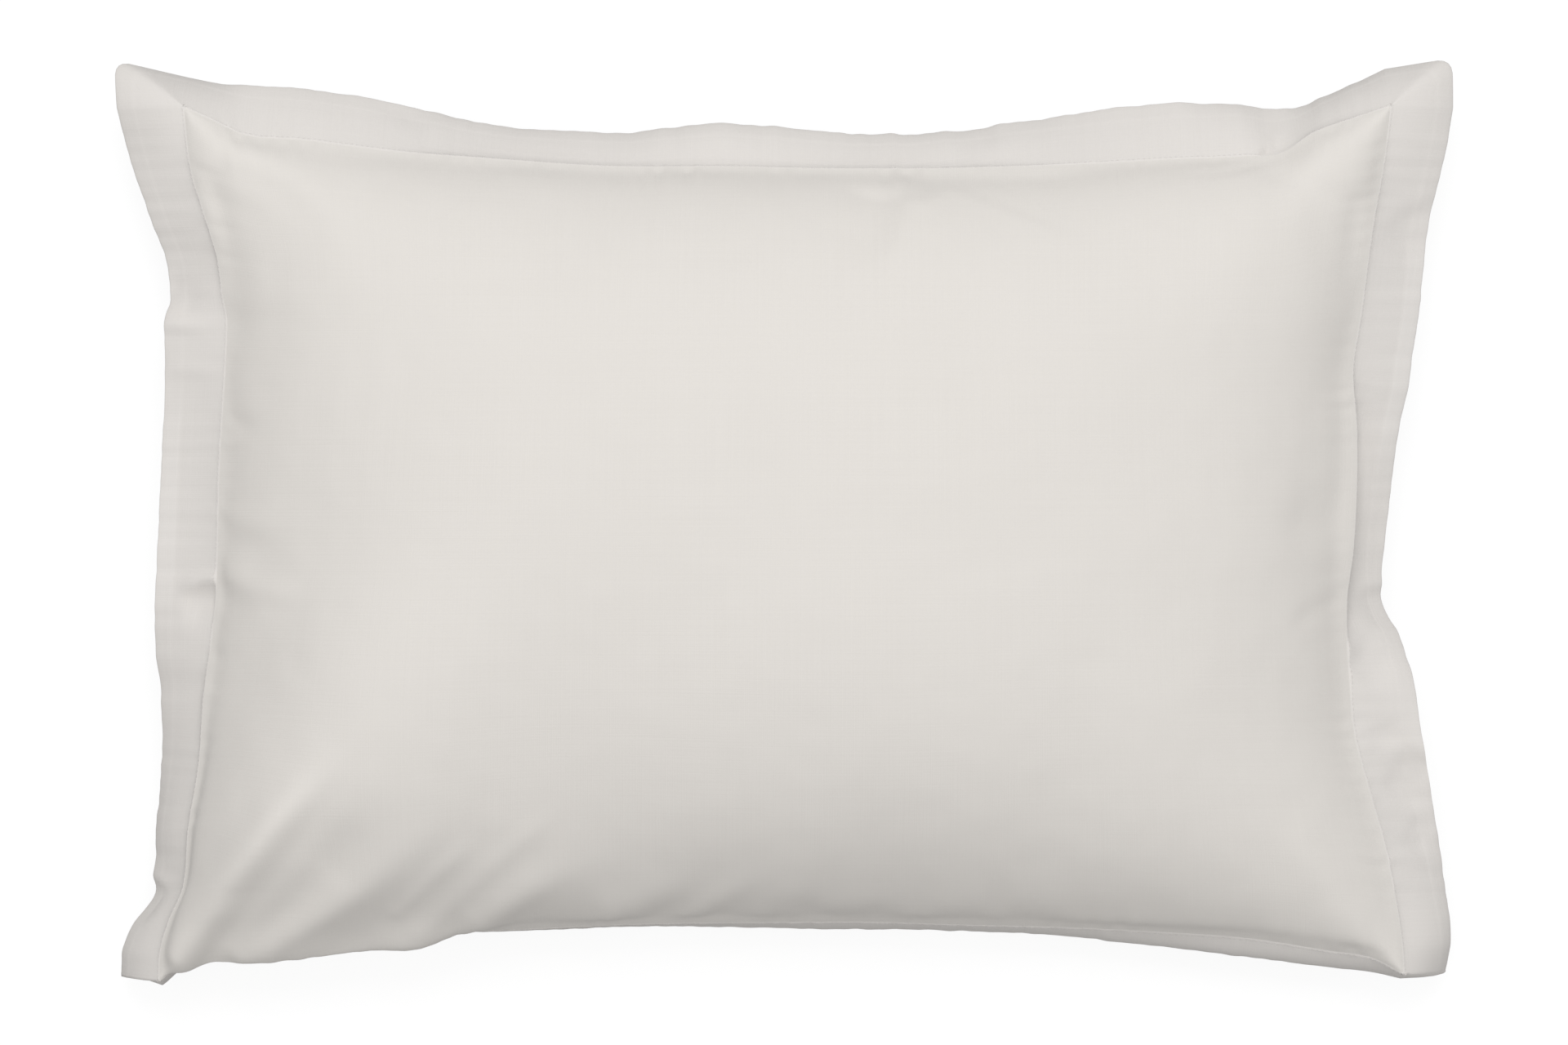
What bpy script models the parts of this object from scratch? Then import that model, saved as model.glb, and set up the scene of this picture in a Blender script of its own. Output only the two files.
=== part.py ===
"""Pillowcase with a flat sewn border, filled with its pillow and lying on its back.

The file works in millimetres and writes its meshes in metres, +Z up. +X runs along the long side,
+Y towards the top edge and +Z out of the front face. The origin lies under the middle of the case,
on the surface that it rests on.

Two nodes: case_body is the filled part inside the stitch line, and case_border is the double cloth
outside it. Left, top and right the border stands out; along the bottom it is turned down.
"""

import math
from collections import namedtuple

import bmesh
import bpy
import numpy as np

MM = 0.001

# ---- driving sizes, in millimetres -------------------------------------------------------------
CASE_LENGTH = 700.0        # flat, from stitch line to stitch line
CASE_WIDTH = 500.0
BORDER_WIDTH = 40.0        # flat, from stitch line to outer edge
BORDER_THICKNESS = 1.6     # two plies with their turned-in edge
BORDER_GAP = 0.5           # clearance between the body's rim and the border, at the stations
TIP_ROUNDING = 10.0        # length of each edge that a rounded outer corner takes up
TIP_STRAIGHT = 0.3         # share of a corner's sections on each side of its rounding
CROWN = 100.0              # height of the front's middle above the stitch line
CROWN_POWER_LONG = 2.9     # how late the crown levels out along X
CROWN_POWER_SHORT = 2.34   # and along Y
CORNER_FULLNESS = 0.91     # 0 lets the crown fall away to the corners, 1 fills them out
CROWN_STEEPNESS = 0.89     # below 1, so that the cloth leaves the stitch line steeply
BACK_STEEPNESS = 0.70      # the same for the back, between the stitch line and the surface
BACK_CONTACT = 0.50        # share of the crown product at which the back is flat on the surface
EDGE_FADE = 3.0            # power with which a side's draw-in fades towards the middle
LIP_PEAK = 9.0             # distance inside the stitch line at which a lip bulges most
CREASE_FADE = 7.0          # folds die out over this distance from the stitch line
FOLD_END_SHARPNESS = 1.6   # how soon a fold's far end dies out within its fading share
FOLD_TRAIL = 1.8           # how many times wider a fold's sunken side is than its raised one
TINY = 1e-9                # keeps a division by a length or a share above zero

# ---- mesh density ------------------------------------------------------------------------------
FACE_COLUMNS = 52
FACE_ROWS = 38
EDGE_CROWDING = 0.6        # 0 spaces the grid evenly, 1 crowds it fully to the edges
BACK_RINGS = (0.985, 0.95, 0.89, 0.78, 0.58)
BORDER_STEPS = {"top": FACE_COLUMNS, "right": FACE_ROWS, "bottom": FACE_COLUMNS, "left": FACE_ROWS}
CORNER_STEPS = 6
BORDER_STRIPS = 3

# ---- stitch-line corners -----------------------------------------------------------------------
# draw_x and draw_y: how far the filled case pulls the corner in from the flat one; height: above
# the surface. tip_x, tip_y and tip_height: the border's outer corner, before it is rounded.
Corner = namedtuple("Corner", "side_x side_y draw_x draw_y height tip_x tip_y tip_height")
CORNERS = {
    "top_left": Corner(-1, 1, 14.2, 17.4, 56.0, -376.4, 259.6, 27.0),
    "top_right": Corner(1, 1, 10.6, 17.0, 56.0, 376.0, 261.1, 25.0),
    "bottom_right": Corner(1, -1, 2.8, -3.2, 51.0, 375.0, -255.5, 9.0),
    "bottom_left": Corner(-1, -1, 0.0, -6.9, 51.0, -376.0, -251.5, 9.0),
}

# ---- the four sides ----------------------------------------------------------------------------
# along: place on the side, -1 to 1 towards +X or +Y. draw: how far the stitch line is pulled in
# from the straight line between its corners. reach: how far the border's edge stands outside the
# stitch line, seen from above. bow: how far the border's middle stands above its chord, or outside
# it where the border is turned down. lip: how far the front bulges out over the stitch line.
Station = namedtuple("Station", "along draw reach bow lip")

TOP = [
    Station(-1.00, 0.0, 18.5, -3.0, 0.0),
    Station(-0.95, 7.8, 23.0, -4.0, 0.0),
    Station(-0.90, 15.5, 29.2, -5.0, 0.0),
    Station(-0.80, 18.8, 30.0, -5.0, 0.0),
    Station(-0.65, 25.3, 28.9, -5.0, 0.0),
    Station(-0.50, 29.4, 21.0, -6.0, 0.0),
    Station(-0.30, 34.0, 20.7, -6.0, 0.0),
    Station(-0.10, 34.3, 25.7, -5.0, 0.0),
    Station(0.10, 35.6, 21.7, -6.0, 0.0),
    Station(0.20, 35.6, 21.0, -6.0, 0.0),
    Station(0.35, 34.5, 25.7, -5.0, 0.0),
    Station(0.50, 32.6, 30.4, -4.0, 0.0),
    Station(0.64, 29.9, 32.8, -4.0, 0.0),
    Station(0.75, 28.4, 30.2, -5.0, 0.0),
    Station(0.82, 26.0, 26.2, -6.0, 0.0),
    Station(0.87, 15.3, 18.6, -3.0, 0.0),
    Station(0.93, 7.8, 19.7, -2.0, 0.0),
    Station(1.00, 0.0, 23.0, -2.0, 0.0),
]
RIGHT = [
    Station(-1.00, 0.0, 27.0, 3.0, 0.0),
    Station(-0.93, 0.9, 30.0, 3.0, 0.0),
    Station(-0.85, 3.5, 30.9, 2.0, 0.0),
    Station(-0.72, 9.1, 32.5, -2.0, 0.0),
    Station(-0.58, 18.1, 36.0, -3.0, 0.0),
    Station(-0.45, 26.1, 38.6, -1.0, 0.0),
    Station(-0.33, 28.6, 37.2, -2.0, 0.0),
    Station(-0.22, 29.8, 32.0, -4.0, 0.0),
    Station(-0.13, 29.6, 23.0, -5.0, 0.0),
    Station(-0.03, 26.0, 20.2, -5.5, 0.0),
    Station(0.10, 23.6, 21.5, -5.5, 0.0),
    Station(0.25, 22.7, 25.4, -5.5, 0.0),
    Station(0.38, 24.4, 33.6, -4.0, 0.0),
    Station(0.52, 19.3, 34.5, -2.0, 0.0),
    Station(0.75, 10.5, 33.6, -3.0, 0.0),
    Station(0.85, 5.6, 34.9, -3.0, 0.0),
    Station(1.00, 0.0, 36.4, -2.0, 0.0),
]
BOTTOM = [
    Station(-1.00, 0.0, 1.0, 2.0, 0.0),
    Station(-0.95, 7.8, 0.5, 1.0, 8.5),
    Station(-0.88, 16.6, 0.5, 1.0, 15.5),
    Station(-0.75, 22.4, 0.5, 1.0, 17.5),
    Station(-0.66, 24.6, 0.5, 1.0, 13.5),
    Station(-0.58, 26.1, 0.5, 1.0, 12.5),
    Station(-0.52, 26.8, 0.5, 1.2, 5.0),
    Station(-0.45, 27.3, 0.5, 1.5, 1.0),
    Station(-0.38, 28.2, 0.5, 1.8, 0.0),
    Station(-0.25, 30.0, 0.5, 2.0, 0.0),
    Station(-0.05, 30.8, 1.0, 3.5, 0.0),
    Station(0.10, 30.8, 1.0, 4.7, 0.0),
    Station(0.30, 28.7, 1.0, 4.0, 0.0),
    Station(0.45, 27.2, 1.0, 5.4, 0.0),
    Station(0.60, 24.5, 1.0, 8.4, 0.0),
    Station(0.75, 20.6, 2.0, 10.4, 0.0),
    Station(0.88, 13.4, 2.0, 9.2, 0.0),
    Station(0.95, 9.2, 1.5, 8.0, 0.0),
    Station(1.00, 0.0, 1.0, 3.0, 0.0),
]
LEFT = [
    Station(-1.00, 0.0, 25.0, 3.0, 0.0),
    Station(-0.93, 0.5, 24.4, 3.0, 0.0),
    Station(-0.86, 5.0, 21.7, 2.0, 0.0),
    Station(-0.79, 12.1, 19.8, -2.0, 0.0),
    Station(-0.65, 14.7, 21.8, -3.0, 0.0),
    Station(-0.50, 19.8, 23.8, -3.0, 0.0),
    Station(-0.35, 21.4, 27.0, -3.0, 0.0),
    Station(-0.22, 24.9, 33.4, -2.0, 0.0),
    Station(-0.10, 26.6, 35.7, -1.0, 0.0),
    Station(0.20, 26.8, 34.6, -2.0, 0.0),
    Station(0.38, 28.2, 35.5, -1.0, 0.0),
    Station(0.50, 28.6, 36.6, -1.0, 0.0),
    Station(0.57, 25.3, 32.4, -3.0, 0.0),
    Station(0.65, 22.1, 30.8, -3.0, 0.0),
    Station(0.75, 14.1, 32.8, -2.0, 0.0),
    Station(0.85, 5.9, 34.0, -1.0, 0.0),
    Station(1.00, 0.0, 38.4, 0.0, 0.0),
]

# start and end: corners in the direction of along; inward: away from the outside of the side;
# rise: how far the stitch line's middle lies above the line between its corners.
Side = namedtuple("Side", "start end inward rise stations")
SIDES = {
    "top": Side("top_left", "top_right", (0, -1), 10.0, TOP),
    "right": Side("bottom_right", "top_right", (-1, 0), 8.0, RIGHT),
    "bottom": Side("bottom_left", "bottom_right", (0, 1), -5.0, BOTTOM),
    "left": Side("bottom_left", "top_left", (1, 0), 9.0, LEFT),
}

# ---- main folds of the front -------------------------------------------------------------------
# From (x0, y0) to (x1, y1), bent sideways by bend. step: a fold whose left side, seen from its
# start, stands up by this much while its right side sinks. dip: a plain trough of this depth.
# Both fall away over half_width. fade: the share of the length over which the far end dies out.
Crease = namedtuple("Crease", "x0 y0 x1 y1 bend half_width step dip fade")
CREASES = [
    Crease(-333.0, -243.0, -246.0, -148.0, 4.0, 12.0, 3.6, 3.0, 0.35),
    Crease(-286.0, -241.0, -199.0, -181.0, 4.0, 9.0, 2.6, 1.2, 0.45),
    Crease(-215.0, -220.0, -165.0, -183.0, 3.0, 7.0, 1.6, 0.8, 0.60),
    Crease(-163.0, -225.0, -136.0, -207.0, 2.0, 6.0, 2.6, 1.2, 0.50),
    Crease(-184.0, -211.0, -140.0, -181.0, 2.0, 6.0, 1.0, 0.4, 0.60),
    Crease(-102.0, -225.0, -55.0, -204.0, -2.0, 6.0, 1.8, 0.6, 0.60),
    Crease(-65.0, -223.0, -20.0, -207.0, -2.0, 5.0, 1.6, 0.6, 0.60),
    Crease(292.0, 216.0, 256.0, 193.0, 3.0, 6.0, -2.4, 1.6, 0.60),
    Crease(-316.0, -57.0, -278.0, -42.0, -3.0, 6.0, 1.2, 1.4, 0.60),
    Crease(312.0, -40.0, 284.0, -53.0, 2.0, 6.0, -1.4, 1.4, 0.60),
    Crease(321.0, 167.0, 293.0, 146.0, 2.0, 7.0, -1.0, 1.4, 0.60),
]

# Slow unevenness of the filling: a swell of the given height and radius about (x, y).
Swell = namedtuple("Swell", "x y radius height")
SWELLS = [
    Swell(-150.0, 60.0, 120.0, 2.0),
    Swell(170.0, -40.0, 130.0, 2.5),
    Swell(40.0, 120.0, 90.0, -1.5),
    Swell(-60.0, -110.0, 100.0, -1.5),
    Swell(255.0, 130.0, 70.0, 2.0),
]

CLOTH_COLOUR = (0.74, 0.71, 0.67, 1.0)
CLOTH_ROUGHNESS = 0.85


def corner_point(name):
    """Return a stitch-line corner as x, y, z."""
    c = CORNERS[name]
    x = c.side_x * (CASE_LENGTH / 2 - c.draw_x)
    y = c.side_y * (CASE_WIDTH / 2 - c.draw_y)
    return np.array([x, y, c.height])


def tip_point(name):
    """Return the border's outer corner as x, y, z."""
    c = CORNERS[name]
    return np.array([c.tip_x, c.tip_y, c.tip_height])


def column(side, field, along):
    """Read one column of a side's table at the places in along, on a smooth curve."""
    rows = SIDES[side].stations
    x = np.array([row.along for row in rows])
    y = np.array([getattr(row, field) for row in rows])
    secant = np.diff(y) / np.diff(x)
    slope = np.concatenate([secant[:1], (secant[:-1] + secant[1:]) / 2, secant[-1:]])
    turning = np.concatenate([[False], secant[:-1] * secant[1:] <= 0, [False]])
    slope[turning] = 0.0
    i = np.clip(np.searchsorted(x, along, side="right") - 1, 0, len(x) - 2)
    h = x[i + 1] - x[i]
    t = (along - x[i]) / h
    return ((2 * t**3 - 3 * t**2 + 1) * y[i] + (t**3 - 2 * t**2 + t) * h * slope[i]
            + (3 * t**2 - 2 * t**3) * y[i + 1] + (t**3 - t**2) * h * slope[i + 1])


def seat(u, v, lipped):
    """Return the stitched sheet at u, v (-1 to 1), before it is filled: x, y and z in one array.

    lipped says whether the sides' lips bulge out, as they do on the front only.
    """
    weight_x = ((1 - u) / 2, (1 + u) / 2)
    weight_y = ((1 - v) / 2, (1 + v) / 2)
    names = (("bottom_left", "top_left"), ("bottom_right", "top_right"))
    place = sum((weight_x[i] * weight_y[j])[..., None] * corner_point(names[i][j])
                for i in (0, 1) for j in (0, 1))
    distance = {"top": (1 - v, u), "bottom": (1 + v, u), "right": (1 - u, v), "left": (1 + u, v)}
    for name, side in SIDES.items():
        away, along = distance[name]
        fade = np.clip(1 - away, 0, 1) ** EDGE_FADE
        inward = column(name, "draw", along) * fade
        if lipped:
            depth = away * (CASE_WIDTH if name in ("top", "bottom") else CASE_LENGTH) / 2
            inward -= column(name, "lip", along) * depth / LIP_PEAK * np.exp(1 - depth / LIP_PEAK)
        place = place + inward[..., None] * np.array([*side.inward, 0.0])
        place[..., 2] += side.rise * (1 - along**2) * fade
    return place


def filled_share(u, v):
    """Return 0 on the stitch line and 1 in the middle of the case."""
    across = np.clip(1 - np.abs(u) ** CROWN_POWER_LONG, 0, 1)
    along = np.clip(1 - np.abs(v) ** CROWN_POWER_SHORT, 0, 1)
    product = across * along
    filled_out = product / np.maximum(across + along - product, TINY)
    return product + CORNER_FULLNESS * (filled_out - product)


def crease_height(x, y):
    """Return how far the folds and swells move the front outwards at the places x, y."""
    height = np.zeros_like(x)
    for s in SWELLS:
        height += s.height * np.exp(-((x - s.x) ** 2 + (y - s.y) ** 2) / s.radius**2)
    for c in CREASES:
        run = np.array([c.x1 - c.x0, c.y1 - c.y0])
        length = np.hypot(*run)
        run = run / length
        place = (x - c.x0) * run[0] + (y - c.y0) * run[1]
        share = place / length
        offset = -(x - c.x0) * run[1] + (y - c.y0) * run[0]
        offset = offset - c.bend * 4 * np.clip(share, 0, 1) * (1 - np.clip(share, 0, 1))
        d = offset / c.half_width
        trail = np.where(d * c.step < 0, FOLD_TRAIL, 1.0)
        past_start = np.clip(-place / c.half_width, 0, None)
        past_fade = np.clip((share - (1 - c.fade)) / c.fade, 0, None)
        envelope = np.exp(-past_start**2) * np.exp(-(FOLD_END_SHARPNESS * past_fade) ** 2)
        odd = d * np.exp((1 - (d / trail) ** 2) / 2)
        height += envelope * (c.step * odd - c.dip * np.exp(-d * d))
    return height


def front(u, v):
    """Return the front of the filled case at u, v."""
    place = seat(u, v, True)
    place[..., 2] += CROWN * filled_share(u, v) ** CROWN_STEEPNESS
    across = np.gradient(place, axis=1)
    along = np.gradient(place, axis=0)
    normal = np.cross(across, along)
    normal /= np.maximum(np.linalg.norm(normal, axis=2, keepdims=True), TINY)
    inside = np.minimum((1 - np.abs(u)) * CASE_LENGTH, (1 - np.abs(v)) * CASE_WIDTH) / 2
    fade = 1 - np.exp(-(inside / CREASE_FADE) ** 2)
    return place + normal * (fade * crease_height(place[..., 0], place[..., 1]))[..., None]


def back(u, v):
    """Return the back of the filled case at u, v, flat on the surface in the middle."""
    place = seat(u, v, False)
    share = np.clip(filled_share(u, v) / BACK_CONTACT, 0, 1)
    place[..., 2] *= 1 - (1 - (1 - share) ** 2) ** BACK_STEEPNESS
    return place


def crowded(count):
    """Return count + 1 places from -1 to 1, closer together at the ends."""
    even = np.linspace(-1, 1, count + 1)
    return (1 - EDGE_CROWDING) * even + EDGE_CROWDING * np.sin(even * math.pi / 2)


def strip_places():
    """Return the places across the border, 0 at the stitch line and 1 at the outer edge."""
    return np.linspace(0, 1, BORDER_STRIPS + 1)[:, None]


def border_mid(inner, outward, reach, bow):
    """Return points across the border at one station, from the stitch line to the outer edge.

    A strip as wide as the flat border bows by bow, which shortens its chord by 8 bow^2 / 3 width.
    What the chord doesn't reach outwards it drops, so the edge comes out as low as the cloth lets it.
    """
    chord = BORDER_WIDTH - 8 * bow**2 / (3 * BORDER_WIDTH)
    drop = math.sqrt(max(chord**2 - reach**2, 1.0))
    side = np.array([*outward, 0.0])
    up = np.array([0.0, 0.0, 1.0])
    run = side * reach - up * drop
    normal = (side * drop + up * reach) / math.hypot(drop, reach)
    w = strip_places()
    return inner + w * run + 4 * bow * w * (1 - w) * normal


def side_sections(name):
    """Return the border's sections along one side, in the direction of along."""
    side = SIDES[name]
    start, end = corner_point(side.start), corner_point(side.end)
    outward = -np.array(side.inward, dtype=float)
    sections = []
    for along in crowded(BORDER_STEPS[name]):
        share = (1 + along) / 2
        inner = start * (1 - share) + end * share
        at = np.array([along])
        inner[:2] -= outward * column(name, "draw", at)
        inner[2] += side.rise * (1 - along**2)
        reach = column(name, "reach", at)[0]
        bow = column(name, "bow", at)[0]
        sections.append(border_mid(inner, outward, reach, bow))
    return sections


def section_bow(section):
    """Return how far a section's middle stands away from its chord, as a vector."""
    w = 1 / BORDER_STRIPS
    return (section[1] - section[0] * (1 - w) - section[-1] * w) / (4 * w * (1 - w))


def corner_sections(name, before, after):
    """Return the border's fan of sections round a corner, between two sides' end sections."""
    centre = corner_point(name)
    tip = tip_point(name)
    first, last = before[-1], after[-1]
    bow = [section_bow(section) for section in (before, after)]
    to_first, to_last = first - tip, last - tip
    rounded_first = tip + to_first * TIP_ROUNDING / np.linalg.norm(to_first)
    rounded_last = tip + to_last * TIP_ROUNDING / np.linalg.norm(to_last)
    sections = []
    for k in range(1, CORNER_STEPS):
        t = k / CORNER_STEPS
        if t < TIP_STRAIGHT:
            outer = first + (rounded_first - first) * t / TIP_STRAIGHT
        elif t > 1 - TIP_STRAIGHT:
            outer = last + (rounded_last - last) * (1 - t) / TIP_STRAIGHT
        else:
            s = (t - TIP_STRAIGHT) / (1 - 2 * TIP_STRAIGHT)
            outer = (1 - s) ** 2 * rounded_first + 2 * s * (1 - s) * tip + s**2 * rounded_last
        w = strip_places()
        middle = bow[0] * (1 - t) + bow[1] * t
        sections.append(centre + w * (outer - centre) + 4 * w * (1 - w) * middle)
    return sections


def border_sections():
    """Return all the border's sections once round, anticlockwise from above."""
    ring = []
    sides = {name: side_sections(name) for name in SIDES}
    sides["top"].reverse()
    sides["left"].reverse()
    order = ["right", "top", "left", "bottom"]
    corners = ["top_right", "top_left", "bottom_left", "bottom_right"]
    for i, name in enumerate(order):
        ring += sides[name]
        following = sides[order[(i + 1) % len(order)]]
        ring += corner_sections(corners[i], sides[name][-1], following[0])
    return np.array(ring)


def offset_border(ring):
    """Return the border's upper and lower faces from its middle sections, clear of the rim."""
    around = np.roll(ring, -1, axis=0) - np.roll(ring, 1, axis=0)
    outer_run = around[:, -1] / np.linalg.norm(around[:, -1], axis=1, keepdims=True)
    across = np.gradient(ring, axis=1)
    across /= np.linalg.norm(across, axis=2, keepdims=True)
    normal = np.cross(across, np.repeat(outer_run[:, None], ring.shape[1], axis=1))
    normal /= np.linalg.norm(normal, axis=2, keepdims=True)
    tilt = np.abs(across[:, 0, 2])
    first = across[:, 0].copy()
    first[:, 2] = 0
    first /= np.maximum(np.linalg.norm(first, axis=1, keepdims=True), TINY)
    clear = BORDER_GAP + BORDER_THICKNESS / 2 * tilt
    w = np.linspace(1, 0, ring.shape[1])[None, :, None]
    middle = ring + w * (first * clear[:, None])[:, None]
    half = normal * BORDER_THICKNESS / 2
    return middle + half, middle - half


def add_object(name, points, faces):
    """Make one closed mesh object from points in millimetres and its faces."""
    mesh = bpy.data.meshes.new(name)
    mesh.from_pydata([tuple(p * MM) for p in points], [], faces)
    bm = bmesh.new()
    bm.from_mesh(mesh)
    bmesh.ops.recalc_face_normals(bm, faces=bm.faces)
    bm.to_mesh(mesh)
    bm.free()
    mesh.shade_smooth()
    mesh.materials.append(cloth_material(name))
    obj = bpy.data.objects.new(name, mesh)
    bpy.context.scene.collection.objects.link(obj)
    return obj


def cloth_material(name):
    """Return a node's own plain cloth material."""
    material = bpy.data.materials.new(name + "_cloth")
    material.use_nodes = True
    shader = material.node_tree.nodes["Principled BSDF"]
    shader.inputs["Base Color"].default_value = CLOTH_COLOUR
    shader.inputs["Roughness"].default_value = CLOTH_ROUGHNESS
    shader.inputs["Metallic"].default_value = 0.0
    return material


def build_body():
    """Build the filled case inside the stitch line: front grid, back rings and flat base."""
    u, v = np.meshgrid(crowded(FACE_COLUMNS), crowded(FACE_ROWS))
    points = list(front(u, v).reshape(-1, 3))
    wide = FACE_COLUMNS + 1

    def index(i, j):
        return j * wide + i

    faces = [(index(i, j), index(i + 1, j), index(i + 1, j + 1), index(i, j + 1))
             for j in range(FACE_ROWS) for i in range(FACE_COLUMNS)]
    rim = ([(i, 0) for i in range(FACE_COLUMNS)]
           + [(FACE_COLUMNS, j) for j in range(FACE_ROWS)]
           + [(i, FACE_ROWS) for i in range(FACE_COLUMNS, 0, -1)]
           + [(0, j) for j in range(FACE_ROWS, 0, -1)])
    outer = [index(i, j) for i, j in rim]
    rim_u = np.array([u[j, i] for i, j in rim])
    rim_v = np.array([v[j, i] for i, j in rim])
    for scale in BACK_RINGS:
        inner = list(range(len(points), len(points) + len(rim)))
        points += list(back(rim_u * scale, rim_v * scale))
        for k in range(len(rim)):
            n = (k + 1) % len(rim)
            faces.append((outer[n], outer[k], inner[k], inner[n]))
        outer = inner
    faces.append(tuple(reversed(outer)))
    return add_object("case_body", points, faces)


def build_border():
    """Build the border as one closed ring of cloth."""
    upper, lower = offset_border(border_sections())
    stations, width = upper.shape[:2]
    points = list(upper.reshape(-1, 3)) + list(lower.reshape(-1, 3))
    below = stations * width
    faces = []
    for k in range(stations):
        a, b = k * width, (k + 1) % stations * width
        for j in range(width - 1):
            faces.append((a + j, a + j + 1, b + j + 1, b + j))
            faces.append((below + b + j, below + b + j + 1, below + a + j + 1, below + a + j))
        faces.append((a, b, below + b, below + a))
        faces.append((a + width - 1, below + a + width - 1, below + b + width - 1, b + width - 1))
    return add_object("case_border", points, faces)


def main():
    """Clear the scene and build the case."""
    for obj in list(bpy.data.objects):
        bpy.data.objects.remove(obj, do_unlink=True)
    build_body()
    build_border()


main()
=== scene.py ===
import logging
import math
from dataclasses import dataclass, field
from enum import Enum
from typing import Any, NamedTuple

import bmesh
import bpy
import numpy as np
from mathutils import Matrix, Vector


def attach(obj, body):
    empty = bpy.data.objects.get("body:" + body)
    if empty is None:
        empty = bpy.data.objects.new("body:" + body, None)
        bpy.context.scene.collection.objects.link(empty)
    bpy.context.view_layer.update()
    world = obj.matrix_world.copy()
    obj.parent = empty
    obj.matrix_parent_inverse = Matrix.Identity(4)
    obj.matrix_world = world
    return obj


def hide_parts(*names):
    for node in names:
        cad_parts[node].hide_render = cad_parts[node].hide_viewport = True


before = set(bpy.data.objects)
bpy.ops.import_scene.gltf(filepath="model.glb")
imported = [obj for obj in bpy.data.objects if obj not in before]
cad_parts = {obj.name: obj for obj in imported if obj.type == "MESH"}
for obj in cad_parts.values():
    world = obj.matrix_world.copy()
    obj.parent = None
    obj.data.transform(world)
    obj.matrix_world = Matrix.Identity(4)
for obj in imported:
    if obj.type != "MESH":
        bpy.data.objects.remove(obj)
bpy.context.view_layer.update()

LOG = logging.getLogger("pillowcase")
MM = 0.001
TINY = 1e-9
WHITE = (1.0, 1.0, 1.0, 1.0)
FLAT_MAP = "cloth"         # UV map that holds each point's place on the flat cloth, in metres
HEM_AND_LIGHT_MARK = "hem_and_painted_light_share"     # attribute on the border: 1 where an allowance shows through, plus a band of painted light along the stitches
SEAM_MARK = "seam_share"   # attribute on the body: 1 at the stitch line, fading inwards; it places painted light there
OUT_MARK = "out"           # attribute on a stitch path: the direction away from the cloth


class Face(Enum):
    """The two faces of the case."""

    FRONT = "front"
    BACK = "back"


class Corner(NamedTuple):
    """A stitch-line corner and the border's tip beside it, in millimetres."""

    side_x: int
    side_y: int
    draw_x: float
    draw_y: float
    height: float
    tip_x: float
    tip_y: float
    tip_height: float


class Station(NamedTuple):
    """One place on a side: its draw-in, and the border's reach and bow.

    hang is how far the border drops straight from the stitches before it runs outwards, and lip is
    how far the front bulges out over its draw-in.
    """

    along: float
    draw: float
    reach: float
    bow: float
    hang: float = 0.0
    lip: float = 0.0


class Side(NamedTuple):
    """A side of the stitch line, with its corners in the direction of along."""

    start: str
    end: str
    inward: tuple[int, int]
    rise: float
    stations: list[Station]


class Fold(NamedTuple):
    """A fold from (x0, y0) to (x1, y1), bent sideways by bend, in millimetres.

    step raises the left side and sinks the right side; dip is a plain trough, or a ridge where it
    is below zero. fade is the share of the length over which the far end dies out.
    """

    x0: float
    y0: float
    x1: float
    y1: float
    bend: float
    half_width: float
    step: float
    dip: float
    fade: float


class Swell(NamedTuple):
    """A slow rise or hollow of the filling."""

    x: float
    y: float
    radius: float
    height: float


def stations(*rows: tuple[float, ...]) -> list[Station]:
    """Read a table with a row for each station and its columns in the order of Station."""
    return [Station(*row) for row in rows]


def folds(*rows: tuple[float, ...]) -> list[Fold]:
    """Read a table with a row for each fold and its columns in the order of Fold."""
    return [Fold(*row) for row in rows]


CORNERS: dict[str, Corner] = {
    "top_left": Corner(-1, 1, 14.2, 17.4, 56.0, -376.4, 259.6, 40.0),
    "top_right": Corner(1, 1, 10.6, 17.0, 56.0, 376.0, 261.1, 38.0),
    "bottom_right": Corner(1, -1, 2.8, -3.2, 51.0, 375.0, -255.5, 9.0),
    "bottom_left": Corner(-1, -1, 0.0, -6.9, 51.0, -376.0, -251.5, 9.0),
}

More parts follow.
